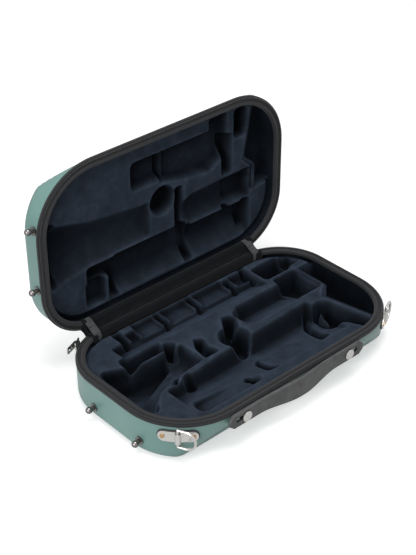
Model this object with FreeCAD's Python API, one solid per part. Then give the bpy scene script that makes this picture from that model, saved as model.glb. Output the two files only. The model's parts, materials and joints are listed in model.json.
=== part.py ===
"""Clarinet case: two moulded shells joined by a fabric hinge and a zip, with a fitted insert in each.

Frame: the origin is the middle of the base's underside, +X runs along the case, +Y points to
the hinge and +Z up, in millimetres. The lid stands open at a right angle, on its stay ribbons.
Lid pieces are drawn where they lie on the closed case, and turned open about the hinge line.
"""
import FreeCAD, Part
import math
import os

# Driving dimensions
case_length = 355.0
case_width = 208.0
base_depth = 50.0
lid_depth = 32.0
front_corner_radius = 76.0
rear_corner_radius = 66.0
shell_edge_radius = 13.0
shell_wall = 2.5
bevel_round = 30.0
right_angle = 90.0
half_turn = 2 * right_angle
open_angle = right_angle

# Front bevels: how far below each rim the front starts to lean in, and how far in it reaches
base_bevel_start = 14.0
base_bevel_reach = 28.0
lid_bevel_start = 2.0
lid_bevel_reach = 30.0

# Clearances
fit_gap = 0.1
running_gap = 0.3
cut_overrun = 1.0
same_height = 0.01

# Rim: zip tape and coil outside, rounded welt inside
closed_gap = 6.0
tape_thickness = 0.9
tape_width = 4.9
tape_inset = 0.2
coil_width = 2.1
coil_height = 1.8
coil_round = 0.8
welt_inset = 5.2
welt_width = 5.0
welt_drop = 3.0
welt_rise = 2.6
welt_round = 2.2

# Hinge line, behind the base's rear wall
hinge_offset = 1.3
hinge_cloth = 0.8
hinge_past_corner = 19.5
zip_end_gap = 3.0
hinge_leaf = 12.0
hinge_slack = 4.5
hinge_rise = 0.6

# Lining and moulded inserts
lining_thickness = 1.5
base_insert_drop = 4.5
lid_insert_drop = 10.5
divider_thickness = 4.5
pocket_round = 3.0

# Places inside the case, from its middle, as shares of half its length or width: the bell and the
# bored round pocket
bell_radius = 38.5
bell_length_share = 0.518
bell_mouth_share = -0.89
bell_axis_share = 0.019
round_pocket_radius = 17.5
round_pocket_x_share = -0.017
round_pocket_y_share = -0.038
round_pocket_depth = 33.0
round_pocket_lid_shift = 1.5

# Lower joint trough, at the front
lower_joint_y_share = -0.442
lower_joint_half_width = 28.5
lower_joint_depth = 19.0
lower_joint_left_share = -0.721
lower_joint_right_share = 0.575
key_slot_width = 9.0
key_slot_depth = 6.0

# Upper joint trough, at the rear
upper_joint_y_share = 0.529
upper_joint_half_width = 12.0
upper_joint_depth = 12.0
upper_joint_left_share = -0.676
upper_joint_right_share = 0.541

# Barrel trough, between them
barrel_y_share = 0.1875
barrel_half_width = 19.0
barrel_depth = 17.0
barrel_left_share = 0.118
barrel_right_share = 0.541
barrel_taper = 12.0

# Divider between the insert and the accessory bay, whose corners run from the rear to the front wall
divider_corner_shares = ((0.808, 0.423), (0.808, -0.019), (0.704, -0.154), (0.777, -0.769), (0.755, -0.923))
divider_bend = 9.0

# Handle strap and its studs
handle_x_share = -0.056
handle_drop = 8.0
stud_run_share = 0.7635
stud_post_radius = 3.0
stud_head_radius = 6.2
stud_head_thickness = 1.6
stud_head_chamfer = 0.4
spacer_radius = 6.5
spacer_thickness = 2.2
strap_thickness = 4.0
strap_end_length = 23.0
strap_end_height = 17.5
strap_middle_height = 25.0
strap_bow = 6.0
strap_chamfer = 6.0
strap_grip_gap = 19.5
strap_slot_length = 11.0
nut_radius = 3.8
nut_thickness = 1.6

# D rings on the front corners
ring_side_angle = 44.0
ring_drop = 14.0
ring_wire = 1.5
ring_bar = 22.0
ring_reach = 20.0
ring_rest_angle = 20.0
plate_height = 13.0
plate_length = 42.0
plate_thickness = 1.2
pad_thickness = 0.8
pad_margin = 1.2
loop_wall = 1.2
screw_offset = 16.0
screw_head_radius = 2.6
screw_head_thickness = 0.9
screw_shank_radius = 1.2
screw_shank_length = 3.0

# Feet on the left end, for standing the case upright
rear_foot_inset = 7.5
front_foot_inset = 15.0
base_foot_z = 18.0
lid_foot_rise = 7.5
foot_ball_radius = 3.9
foot_neck_radius = 2.4
foot_neck_length = 2.2
foot_stem_radius = 2.0
foot_washer_radius = 5.0
foot_washer_thickness = 1.4

# Zip slider and its pull, parked at the left end of the zip
slider_angle = 124.0
slider_length = 12.5
slider_height = 9.5
slider_thickness = 2.6
slider_round = 0.8
slider_relief = 1.2
slider_bridge_height = 2.4
slider_bridge_length = 6.0
slider_bridge_width = 1.8
pull_length = 17.0
pull_height = 7.5
pull_thickness = 1.4
pull_round = 1.8
pull_eye_radius = 1.9
pull_pin_radius = 0.8
pull_lean = 12.0

# Stay ribbons at the hinge's two ends
ribbon_width = 9.5
ribbon_thickness = 0.8
ribbon_inset = 9.0

# Sizes that follow from the ones above
half_length = case_length / 2
half_width = case_width / 2
lid_rim_z = base_depth + closed_gap
lid_top_z = lid_rim_z + lid_depth
lining_inset = shell_wall + fit_gap
insert_inset = lining_inset + lining_thickness + fit_gap
base_insert_top = base_depth - base_insert_drop
lid_insert_face = lid_rim_z + lid_insert_drop
insert_depth = base_insert_top - insert_inset
lid_insert_depth = lid_top_z - insert_inset - lid_insert_face
hinge_y = half_width + hinge_offset
hinge_z = base_depth
front_wall_y = -half_width
left_wall_x = -half_length
front_centre_x = half_length - front_corner_radius
front_centre_y = front_corner_radius - half_width
rear_centre_x = half_length - rear_corner_radius
rear_centre_y = half_width - rear_corner_radius
feet_y = (rear_centre_y - rear_foot_inset, front_centre_y - front_foot_inset)
hinge_length = 2 * (rear_centre_x + hinge_past_corner)
zip_end_x = hinge_length / 2 + zip_end_gap
ribbon_x = hinge_length / 2 - ribbon_inset
bell_length = half_length * bell_length_share
bell_mouth_x = half_length * bell_mouth_share
bell_axis_y = half_width * bell_axis_share
round_pocket_x = half_length * round_pocket_x_share
round_pocket_y = half_width * round_pocket_y_share
lower_joint_y = half_width * lower_joint_y_share
lower_joint_left = half_length * lower_joint_left_share
lower_joint_right = half_length * lower_joint_right_share
upper_joint_y = half_width * upper_joint_y_share
upper_joint_left = half_length * upper_joint_left_share
upper_joint_right = half_length * upper_joint_right_share
barrel_y = half_width * barrel_y_share
barrel_left = half_length * barrel_left_share
barrel_right = half_length * barrel_right_share
divider_corners = tuple((half_length * x, half_width * y) for x, y in divider_corner_shares)
divider_rear_x, bay_rear_y = divider_corners[0]
divider_toe_x = divider_corners[-1][0]
handle_x = half_length * handle_x_share
handle_z = base_depth - handle_drop
stud_spacing = 2 * front_centre_x * stud_run_share
strap_length = stud_spacing + 2 * strap_end_length
strap_grip_length = stud_spacing - 2 * strap_grip_gap
ring_height = base_depth - ring_drop

# Bell hollow: place along the bell, width as a share of its radius, depth as a share of the insert's
bell_drift_share = 0.06
base_bell_shares = ((0, 1, 0.94), (0.29, 0.73, 0.72), (0.58, 0.56, 0.55), (1, 0.45, 0.43))
lid_bell_shares = ((0, 1.06, 0.92), (0.62, 0.68, 0.86), (1.47, 0.59, 0.76))

# Lower joint trough: its narrow end, and where its key slots start along it
lower_joint_neck_share = 0.36
lower_joint_tip_share = 0.5
key_slot_shares = (0.378, 0.517, 0.887)

# Depths of the lid's barrel trough and round pocket, as shares of its insert's
lid_barrel_share = 0.84
lid_round_share = 0.92

# Pockets in the base's insert: left, right, front and rear edge as shares of half the case's
# length and width, and depth as a share of the insert's
base_pocket_shares = (
    (-0.738, -0.428, 0.327, 0.471, 0.58),
    (-0.597, -0.535, 0.668, 0.875, 0.4),
    (-0.518, -0.445, 0.668, 0.76, 0.25),
    (-0.428, -0.304, 0.692, 0.865, 0.2),
    (-0.276, -0.045, 0.668, 0.865, 0.25),
    (-0.011, 0.315, 0.668, 0.865, 0.3),
    (0.344, 0.518, 0.668, 0.837, 0.35),
    (-0.315, -0.214, -0.106, 0.173, 0.55),
    (0.589, 0.794, 0.01, 0.438, 0.78),
    (0.589, 0.794, 0.481, 0.76, 0.6),
    (0.794, 0.885, 0.481, 0.702, 0.4),
    (0.586, 0.741, -0.74, -0.197, 0.8),
)

# Pockets in the lid's insert, the same way
lid_pocket_shares = (
    (-0.315, 0.135, 0.423, 0.846, 0.72),
    (0.135, 0.175, 0.423, 0.846, 0.95),
    (0.175, 0.761, 0.423, 0.846, 0.82),
    (-0.259, -0.023, -0.644, -0.269, 0.68),
    (-0.023, 0.023, -0.644, -0.26, 0.95),
    (0.023, 0.513, -0.644, -0.25, 0.74),
    (0.104, 0.152, 0.019, 0.337, 0.85),
    (0.535, 0.608, -0.519, -0.048, 0.9),
    (0.639, 0.721, -0.68, -0.4, 0.9),
    (-0.614, -0.338, 0.423, 0.567, 0.85),
    (-0.839, -0.485, 0.615, 0.856, 0.45),
    (-0.462, -0.349, 0.615, 0.885, 0.85),
)

parts = {}


def vector(x, y, z):
    """A point or direction."""
    return FreeCAD.Vector(x, y, z)


def polar(radius, degrees):
    """The x and y of a point on a circle about the origin."""
    return radius * math.cos(math.radians(degrees)), radius * math.sin(math.radians(degrees))


def rounded_wire(low_x, high_x, low_y, high_y, front, rear, z):
    """A closed rectangle in plan, with one corner radius along its front and one along its rear."""
    corners = (
        (high_x - front, low_y + front, front, -right_angle),
        (high_x - rear, high_y - rear, rear, 0),
        (low_x + rear, high_y - rear, rear, right_angle),
        (low_x + front, low_y + front, front, half_turn),
    )
    arcs = []
    for x, y, radius, start in corners:
        points = []
        for turn in (start, start + right_angle / 2, start + right_angle):
            dx, dy = polar(radius, turn)
            points.append(vector(x + dx, y + dy, z))
        arcs.append(Part.Arc(*points).toShape())
    edges = []
    for index, arc in enumerate(arcs):
        following = arcs[(index + 1) % len(arcs)]
        edges.append(arc)
        edges.append(Part.makeLine(arc.lastVertex().Point, following.firstVertex().Point))
    return Part.Wire(edges)


def case_outline(inset, z):
    """The case's outline in plan, moved inwards."""
    return rounded_wire(
        inset - half_length,
        half_length - inset,
        inset - half_width,
        half_width - inset,
        front_corner_radius - inset,
        rear_corner_radius - inset,
        z,
    )


def edges_at(solid, z):
    """The edges that lie flat at one height."""
    found = []
    for edge in solid.Edges:
        box = edge.BoundBox
        if abs(box.ZMin - z) < same_height and abs(box.ZMax - z) < same_height:
            found.append(edge)
    return found


def case_block(inset, low_z, high_z, edge_radius, rounded_z):
    """A block of the case's outline, with its edges rounded at one of its two ends."""
    block = Part.Face(case_outline(inset, low_z)).extrude(vector(0, 0, high_z - low_z))
    return block.makeFillet(edge_radius, edges_at(block, rounded_z))


def bend(before, corner, after, radius):
    """The first, middle and last point of an arc that rounds a corner of a chain of points."""
    arrive = (corner - before).normalize()
    leave = (after - corner).normalize()
    turn = arrive.getAngle(leave)
    reach = radius * math.tan(turn / 2)
    middle = corner + (leave - arrive).normalize() * (radius / math.cos(turn / 2) - radius)
    return corner - arrive * reach, middle, corner + leave * reach


def front_prism(inset, depth, start, reach, face_z, up):
    """All that lies behind a shell's bevelled front, from its outer face to past its rim."""
    rise = depth - start
    lean = inset * math.hypot(rise, reach) / rise
    top = depth + 2 * cut_overrun

    def point(y, height):
        return vector(-half_length - cut_overrun, y, face_z + height * up)

    rear = half_width + cut_overrun
    low = point(lean - half_width + reach * (1 - inset / rise), inset)
    high = point(lean - half_width + reach * (1 - top / rise), top)
    low_rear = point(rear, inset)
    high_rear = point(rear, top)
    first, middle, last = bend(low_rear, low, high, bevel_round - inset)
    edges = [
        Part.makeLine(low_rear, first),
        Part.Arc(first, middle, last).toShape(),
        Part.makeLine(last, high),
        Part.makeLine(high, high_rear),
        Part.makeLine(high_rear, low_rear),
    ]
    return Part.Face(Part.Wire(edges)).extrude(vector(case_length + 2 * cut_overrun, 0, 0))


def base_block(inset, high_z):
    """A block that fills the base up to a height, inset from the shell's outside."""
    block = case_block(inset, inset, high_z, shell_edge_radius - inset, inset)
    return block.common(front_prism(inset, base_depth, base_bevel_start, base_bevel_reach, 0, 1))


def lid_block(inset, low_z):
    """A block that fills the closed lid from a height up, inset from the shell's outside."""
    high_z = lid_top_z - inset
    block = case_block(inset, low_z, high_z, shell_edge_radius - inset, high_z)
    return block.common(front_prism(inset, lid_depth, lid_bevel_start, lid_bevel_reach, lid_top_z, -1))


def rim_ring(inset, width, low_z, high_z):
    """A flat ring that follows the rim."""
    outer = Part.Face(case_outline(inset, low_z)).extrude(vector(0, 0, high_z - low_z))
    inner_low = low_z - cut_overrun
    inner = Part.Face(case_outline(inset + width, inner_low))
    return outer.cut(inner.extrude(vector(0, 0, high_z + cut_overrun - inner_low)))


def box(low_x, high_x, low_y, high_y, low_z, high_z):
    """A plain block between two corners."""
    corner = vector(low_x, low_y, low_z)
    return Part.makeBox(high_x - low_x, high_y - low_y, high_z - low_z, corner)


def opened(shape):
    """A lid piece, turned from the closed case to the open one."""
    turned = shape.copy()
    turned.rotate(vector(0, hinge_y, hinge_z), vector(1, 0, 0), -open_angle)
    return turned


def without_rear(ring, low_z, high_z):
    """A rim piece of the zip, cut away along the hinge."""
    return ring.cut(box(-zip_end_x, zip_end_x, rear_centre_y, half_width, low_z, high_z))


def zip_tape(low_z):
    """The woven tape on a rim, from one end of the hinge round the front to the other."""
    high_z = low_z + tape_thickness
    ring = rim_ring(tape_inset, tape_width, low_z, high_z)
    return without_rear(ring, low_z - cut_overrun, high_z + cut_overrun)


def zip_coil(low_z):
    """The zip's coil along a tape's outer edge."""
    high_z = low_z + coil_height
    ring = rim_ring(tape_inset, coil_width, low_z, high_z)
    ring = ring.makeFillet(coil_round, edges_at(ring, low_z) + edges_at(ring, high_z))
    return without_rear(ring, low_z - cut_overrun, high_z + cut_overrun)


def welt(low_z):
    """The rounded welt inside a rim."""
    high_z = low_z + welt_drop + welt_rise
    ring = rim_ring(welt_inset, welt_width, low_z, high_z)
    return ring.makeFillet(welt_round, edges_at(ring, low_z) + edges_at(ring, high_z))


def pocket(low_x, high_x, low_y, high_y, depth, face_z, down):
    """A cutter for a pocket with rounded corners, sunk from an insert's face."""
    start = face_z + cut_overrun * down
    wire = rounded_wire(low_x, high_x, low_y, high_y, pocket_round, pocket_round, start)
    return Part.Face(wire).extrude(vector(0, 0, -(depth + cut_overrun) * down))


def plain_pockets(table, full_depth, face_z, down):
    """The cutters for a table of pockets, whose edges and depths are given as shares."""
    cutters = []
    for left, right, front, rear, depth_share in table:
        cutters.append(pocket(half_length * left, half_length * right, half_width * front,
                              half_width * rear, full_depth * depth_share, face_z, down))
    return cutters


def trough(sections, face_z, down):
    """A cutter for a trough along X. Each section is x, its middle y, half its width and its depth."""
    wires = []
    for x, y, half, depth in sections:
        left = vector(x, y - half, face_z)
        right = vector(x, y + half, face_z)
        bottom = vector(x, y, face_z - depth * down)
        left_top = vector(x, y - half, face_z + cut_overrun * down)
        right_top = vector(x, y + half, face_z + cut_overrun * down)
        edges = [
            Part.Arc(left, bottom, right).toShape(),
            Part.makeLine(right, right_top),
            Part.makeLine(right_top, left_top),
            Part.makeLine(left_top, left),
        ]
        wires.append(Part.Wire(edges))
    return Part.makeLoft(wires, True, True)


def post(start, direction, radius, length):
    """A round bar."""
    return Part.makeCylinder(radius, length, start, direction)


def divider_path(z):
    """The divider's centre line, with its bends rounded."""
    points = [vector(x, y, z) for x, y in divider_corners]
    edges = []
    start = points[0]
    for before, corner, after in zip(points, points[1:], points[2:]):
        first, middle, last = bend(before, corner, after, divider_bend)
        edges.append(Part.makeLine(start, first))
        edges.append(Part.Arc(first, middle, last).toShape())
        start = last
    edges.append(Part.makeLine(start, points[-1]))
    return Part.Wire(edges)


def divider_wall(thickness, low_z, high_z):
    """The divider as a wall of one thickness between two heights."""
    contour = divider_path(low_z).makeOffset2D(thickness / 2)
    return Part.Face(contour).extrude(vector(0, 0, high_z - low_z))


def bay_cutter(low_z, high_z):
    """Everything to the right of the divider's centre line, which an insert leaves free."""
    beyond = half_length + cut_overrun
    outside = (
        (divider_toe_x, -half_width - cut_overrun),
        (beyond, -half_width - cut_overrun),
        (beyond, bay_rear_y),
    )
    points = [vector(x, y, low_z) for x, y in divider_corners + outside]
    points.append(points[0])
    return Part.Face(Part.makePolygon(points)).extrude(vector(0, 0, high_z - low_z))


def bell_trough(shares, face_z, down, depth_limit):
    """The flared hollow that holds the bell. Each share is place, width and depth along it."""
    sections = []
    for place, width_share, depth_share in shares:
        x = bell_mouth_x + bell_length * place
        sections.append((x, bell_axis_y + bell_length * place * bell_drift_share,
                         bell_radius * width_share, depth_limit * depth_share))
    return trough(sections, face_z, down)


def base_pockets():
    """The cutters for every hollow in the base's insert."""
    face = base_insert_top
    cutters = [bell_trough(base_bell_shares, face, 1, insert_depth)]
    cutters.append(trough(lower_joint_sections(), face, 1))
    half = lower_joint_half_width - pocket_round
    deep = lower_joint_depth + key_slot_depth
    for share in key_slot_shares:
        x = lower_joint_left + (lower_joint_right - lower_joint_left) * share
        slot = ((x, lower_joint_y, half, deep), (x + key_slot_width, lower_joint_y, half, deep))
        cutters.append(trough(slot, face, 1))
    cutters.append(trough((
        (upper_joint_left, upper_joint_y, upper_joint_half_width, upper_joint_depth),
        (upper_joint_right, upper_joint_y, upper_joint_half_width, upper_joint_depth)), face, 1))
    cutters.append(trough((
        (barrel_left, barrel_y, barrel_half_width - barrel_taper / 2, barrel_depth - barrel_taper / 2),
        (barrel_left + barrel_taper, barrel_y, barrel_half_width, barrel_depth),
        (barrel_right, barrel_y, barrel_half_width, barrel_depth)), face, 1))
    top = vector(round_pocket_x, round_pocket_y, face + cut_overrun)
    cutters.append(post(top, vector(0, 0, -1), round_pocket_radius, round_pocket_depth + cut_overrun))
    cutters.extend(plain_pockets(base_pocket_shares, insert_depth, face, 1))
    return cutters


def lower_joint_sections():
    """The lower joint's trough: narrow where the joint tapers, full width to the right."""
    neck_x = lower_joint_left + (lower_joint_right - lower_joint_left) * lower_joint_neck_share
    return (
        (lower_joint_left, lower_joint_y, lower_joint_half_width * lower_joint_tip_share,
         lower_joint_depth * lower_joint_tip_share),
        (neck_x, lower_joint_y, lower_joint_half_width, lower_joint_depth),
        (lower_joint_right, lower_joint_y, lower_joint_half_width, lower_joint_depth),
    )


def lid_pockets():
    """The cutters for every hollow in the lid's insert."""
    face = lid_insert_face
    cutters = [bell_trough(lid_bell_shares, face, -1, lid_insert_depth)]
    deep = lid_insert_depth * lid_barrel_share
    cutters.append(trough((
        (barrel_left + barrel_taper, barrel_y, barrel_half_width, deep),
        (divider_rear_x - divider_thickness, barrel_y, barrel_half_width, deep)), face, -1))
    start = vector(round_pocket_x, round_pocket_y - round_pocket_lid_shift, face - cut_overrun)
    depth = lid_insert_depth * lid_round_share + cut_overrun
    cutters.append(post(start, vector(0, 0, 1), round_pocket_radius, depth))
    cutters.extend(plain_pockets(lid_pocket_shares, lid_insert_depth, face, -1))
    return cutters


def largest(shape):
    """The largest solid of a shape, so that a cut's offcuts are thrown away."""
    return max(shape.Solids, key=lambda solid: solid.Volume)


def left_wall(y, z):
    """A point on the outside of the case's left wall, and the direction straight out of it."""
    if y > front_centre_y:
        return vector(left_wall_x, y, z), vector(-1, 0, 0)
    turn = math.asin((y - front_centre_y) / front_corner_radius)
    outward = vector(-math.cos(turn), math.sin(turn), 0)
    return vector(-front_centre_x, front_centre_y, z) + outward * front_corner_radius, outward


def stud_places():
    """The middle of each handle stud, on the front wall."""
    return [handle_x - stud_spacing / 2, handle_x + stud_spacing / 2]


def wall_nut(start, direction, bore):
    """A round nut that holds a stem on the inside of a wall."""
    seat = start + direction * running_gap
    ring = post(seat, direction, nut_radius, nut_thickness)
    return ring.cut(post(seat - direction * cut_overrun, direction, bore, nut_thickness + 2 * cut_overrun))


def nut_clearance(wall_point, inward):
    """The room that a nut and its stem need in the lining and the insert."""
    depth = lining_thickness + nut_thickness + cut_overrun
    return post(wall_point + inward * shell_wall, inward, nut_radius + running_gap, depth)


def make_foot(y, z):
    """One foot's turned piece, its washer and its nut."""
    wall, outward = left_wall(y, z)
    inside = wall - outward * (shell_wall + nut_thickness + 2 * running_gap)
    seat = wall + outward * (foot_washer_thickness + 2 * fit_gap)
    foot = foot_turning((seat - inside).Length)
    foot.Placement = FreeCAD.Placement(inside, FreeCAD.Rotation(vector(0, 0, 1), outward))
    washer_start = wall + outward * fit_gap
    washer = post(washer_start, outward, foot_washer_radius, foot_washer_thickness)
    bore = foot_stem_radius + fit_gap
    washer = washer.cut(post(wall - outward * cut_overrun, outward, bore,
                             foot_washer_thickness + 2 * cut_overrun))
    nut = wall_nut(wall - outward * shell_wall, -outward, bore)
    return foot, washer, nut


def foot_turning(stem_length):
    """A foot in one turned piece along Z: its stem, its neck and its ball."""
    ball_z = stem_length + foot_neck_length + foot_ball_radius
    neck_z = ball_z - math.sqrt(foot_ball_radius ** 2 - foot_neck_radius ** 2)
    bottom = vector(0, 0, 0)
    stem_low = vector(foot_stem_radius, 0, 0)
    stem_high = vector(foot_stem_radius, 0, stem_length)
    neck_low = vector(foot_neck_radius, 0, stem_length)
    neck_high = vector(foot_neck_radius, 0, neck_z)
    widest = vector(foot_ball_radius, 0, ball_z)
    tip = vector(0, 0, ball_z + foot_ball_radius)
    edges = [
        Part.makeLine(bottom, stem_low),
        Part.makeLine(stem_low, stem_high),
        Part.makeLine(stem_high, neck_low),
        Part.makeLine(neck_low, neck_high),
        Part.Arc(neck_high, widest, tip).toShape(),
        Part.makeLine(tip, bottom),
    ]
    return Part.Face(Part.Wire(edges)).revolve(bottom, vector(0, 0, 1), 2 * half_turn)


def foot_holes(z):
    """The holes through a shell for its two feet."""
    length = shell_wall + 2 * cut_overrun
    holes = []
    for y in feet_y:
        wall, outward = left_wall(y, z)
        holes.append(post(wall + outward * cut_overrun, -outward, foot_stem_radius + fit_gap, length))
    return holes


def foot_nut_rooms(z):
    """The room for the nuts of a shell's two feet."""
    rooms = []
    for y in feet_y:
        wall, outward = left_wall(y, z)
        rooms.append(nut_clearance(wall, -outward))
    return rooms


def make_stud(x):
    """One handle stud, its spacer and its nut."""
    outward = vector(0, -1, 0)
    wall = vector(x, front_wall_y, handle_z)
    inside = wall - outward * (shell_wall + nut_thickness + 2 * running_gap)
    stem = post(inside, outward, foot_stem_radius, (wall - inside).Length + spacer_thickness)
    shoulder = wall + outward * spacer_thickness
    body = post(shoulder, outward, stud_post_radius, strap_thickness + running_gap)
    head_start = shoulder + outward * (strap_thickness + running_gap)
    head = post(head_start, outward, stud_head_radius, stud_head_thickness)
    face_y = head_start.y - stud_head_thickness
    rim = [edge for edge in head.Edges if abs(edge.BoundBox.YMax - face_y) < fit_gap]
    head = head.makeChamfer(stud_head_chamfer, rim)
    bore = foot_stem_radius + fit_gap
    spacer = post(wall, outward, spacer_radius, spacer_thickness)
    spacer = spacer.cut(post(wall - outward * cut_overrun, outward, bore, spacer_thickness + 2 * cut_overrun))
    nut = wall_nut(wall - outward * shell_wall, -outward, bore)
    return stem.fuse([body, head]).removeSplitter(), spacer, nut


def strap_silhouette():
    """The strap seen from the front: widest in the middle, with cut corners at its ends."""
    y = front_wall_y + cut_overrun
    half = strap_length / 2
    grip = strap_grip_length / 2
    low = strap_end_height / 2
    high = strap_middle_height / 2
    cut = strap_chamfer

    def point(dx, dz):
        return vector(handle_x + dx, y, handle_z + dz)

    edges = [
        Part.makeLine(point(-half, cut - low), point(-half, low - cut)),
        Part.makeLine(point(-half, low - cut), point(cut - half, low)),
        Part.makeLine(point(cut - half, low), point(-grip, low)),
        Part.Arc(point(-grip, low), point(0, high), point(grip, low)).toShape(),
        Part.makeLine(point(grip, low), point(half - cut, low)),
        Part.makeLine(point(half - cut, low), point(half, low - cut)),
        Part.makeLine(point(half, low - cut), point(half, cut - low)),
        Part.makeLine(point(half, cut - low), point(half - cut, -low)),
        Part.makeLine(point(half - cut, -low), point(grip, -low)),
        Part.Arc(point(grip, -low), point(0, -high), point(-grip, -low)).toShape(),
        Part.makeLine(point(-grip, -low), point(cut - half, -low)),
        Part.makeLine(point(cut - half, -low), point(-half, cut - low)),
    ]
    depth = spacer_thickness + strap_thickness + strap_bow + 2 * cut_overrun
    return Part.Face(Part.Wire(edges)).extrude(vector(0, -depth, 0))


def strap_band():
    """The strap seen from above: flat at its ends and bowed outwards between them."""
    inner = front_wall_y - spacer_thickness
    outer = inner - strap_thickness
    half = strap_length / 2
    grip = strap_grip_length / 2
    low = handle_z - strap_middle_height

    def point(dx, y):
        return vector(handle_x + dx, y, low)

    edges = [
        Part.makeLine(point(-half, inner), point(-grip, inner)),
        Part.Arc(point(-grip, inner), point(0, inner - strap_bow), point(grip, inner)).toShape(),
        Part.makeLine(point(grip, inner), point(half, inner)),
        Part.makeLine(point(half, inner), point(half, outer)),
        Part.makeLine(point(half, outer), point(grip, outer)),
        Part.Arc(point(grip, outer), point(0, outer - strap_bow), point(-grip, outer)).toShape(),
        Part.makeLine(point(-grip, outer), point(-half, outer)),
        Part.makeLine(point(-half, outer), point(-half, inner)),
    ]
    return Part.Face(Part.Wire(edges)).extrude(vector(0, 0, 2 * strap_middle_height))


def strap_slot(x, side):
    """The slot through a strap end, running outwards from its stud."""
    radius = stud_post_radius + running_gap
    start = vector(x, front_wall_y, handle_z)
    depth = spacer_thickness + strap_thickness + cut_overrun
    inner = post(start, vector(0, -1, 0), radius, depth)
    outer = post(start + vector(side * strap_slot_length, 0, 0), vector(0, -1, 0), radius, depth)
    low_x = min(x, x + side * strap_slot_length)
    middle = box(low_x, low_x + strap_slot_length, front_wall_y - depth, front_wall_y,
                 handle_z - radius, handle_z + radius)
    return inner.fuse([outer, middle])


def make_strap():
    """The handle's grip, and its two ends with their slots."""
    strap = strap_band().common(strap_silhouette())
    grip = strap_grip_length / 2
    deep = front_wall_y - spacer_thickness - strap_thickness - strap_bow - cut_overrun
    low_z = handle_z - strap_middle_height
    high_z = handle_z + strap_middle_height
    whole = strap_length
    middle = box(handle_x - grip, handle_x + grip, deep, front_wall_y, low_z, high_z)
    left = box(handle_x - whole, handle_x - grip - running_gap, deep, front_wall_y, low_z, high_z)
    right = box(handle_x + grip + running_gap, handle_x + whole, deep, front_wall_y, low_z, high_z)
    left_stud, right_stud = stud_places()
    parts["handle_grip"] = largest(strap.common(middle))
    parts["handle_end_left"] = largest(strap.common(left).cut(strap_slot(left_stud, -1)))
    parts["handle_end_right"] = largest(strap.common(right).cut(strap_slot(right_stud, 1)))


def corner_place(side):
    """The centre of a front corner's arc, and the direction in degrees to its D ring."""
    if side == "left":
        return vector(-front_centre_x, front_centre_y, 0), half_turn + ring_side_angle
    return vector(front_centre_x, front_centre_y, 0), -ring_side_angle


def corner_band(centre, middle, inner, outer, half_angle, half_height):
    """A band of a vertical cylinder about a corner's centre, rounded at both ends."""
    low_z = ring_height - half_height
    ring = Part.makeCylinder(outer, 2 * half_height, vector(centre.x, centre.y, low_z), vector(0, 0, 1),
                             2 * half_angle)
    bore = Part.makeCylinder(inner, 2 * half_height, vector(centre.x, centre.y, low_z))
    band = ring.cut(bore)
    band.rotate(centre, vector(0, 0, 1), middle - half_angle)
    tip_angle = math.degrees(half_height / outer)
    trimmed = band
    for end in (-1, 1):
        dx, dy = polar(1, middle + end * (half_angle - tip_angle))
        start = vector(centre.x, centre.y, ring_height)
        direction = vector(dx, dy, 0)
        tip = post(start, direction, half_height, outer + half_height)
        keep = Part.makeCylinder(outer + half_height, 2 * half_height, vector(centre.x, centre.y, low_z),
                                 vector(0, 0, 1), 2 * half_angle)
        keep.rotate(centre, vector(0, 0, 1), middle - half_angle - end * tip_angle)
        trimmed = trimmed.common(keep.fuse(tip))
    return largest(trimmed)


def make_ring_set(side):
    """A D ring, its plate with the loop, its pad and its two screws."""
    centre, middle = corner_place(side)
    wall = front_corner_radius
    half_angle = math.degrees(plate_length / 2 / wall)
    margin = math.degrees(pad_margin / wall)
    half_height = plate_height / 2
    pad_outer = wall + fit_gap + pad_thickness
    pad = corner_band(centre, middle, wall + fit_gap, pad_outer, half_angle + margin,
                      half_height + pad_margin)
    plate_inner = pad_outer + fit_gap
    plate_outer = plate_inner + plate_thickness
    plate = corner_band(centre, middle, plate_inner, plate_outer, half_angle, half_height)
    bore = ring_wire + running_gap
    loop_radius = bore + loop_wall
    axis_radius = plate_inner + loop_radius
    dx, dy = polar(axis_radius, middle)
    axis = vector(centre.x + dx, centre.y + dy, ring_height)
    down = vector(0, 0, half_height)
    loop = post(axis - down, vector(0, 0, 1), loop_radius, plate_height)
    hole_start = axis - down - vector(0, 0, cut_overrun)
    hole = post(hole_start, vector(0, 0, 1), bore, plate_height + 2 * cut_overrun)
    plate = plate.fuse(loop).cut(hole)
    screws = []
    for end in (-1, 1):
        angle = middle + end * math.degrees(screw_offset / wall)
        ux, uy = polar(1, angle)
        direction = vector(ux, uy, 0)
        start = vector(centre.x, centre.y, ring_height) + direction * (wall - screw_shank_length)
        shank_length = plate_outer - wall + screw_shank_length
        shank = post(start, direction, screw_shank_radius, shank_length)
        head_start = start + direction * shank_length
        head = post(head_start, direction, screw_head_radius, screw_head_thickness)
        screws.append(shank.fuse(head).removeSplitter())
        passage_start = start - direction * cut_overrun
        passage_length = shank_length + 2 * cut_overrun
        passage = post(passage_start, direction, screw_shank_radius + fit_gap, passage_length)
        plate = plate.cut(passage)
        pad = pad.cut(passage)
        ring_passages.append(passage)
        head_room = post(head_start, direction, screw_head_radius + fit_gap, 2 * loop_radius)
        plate = plate.cut(head_room)
    parts["d_ring_plate_" + side] = largest(plate.removeSplitter())
    parts["d_ring_pad_" + side] = largest(pad)
    parts["d_ring_" + side] = make_d_ring(axis, middle)
    ring_screws.extend(screws)
    print("d ring", side, "turns about", tuple(round(value, 3) for value in axis), "middle", middle)


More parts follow.
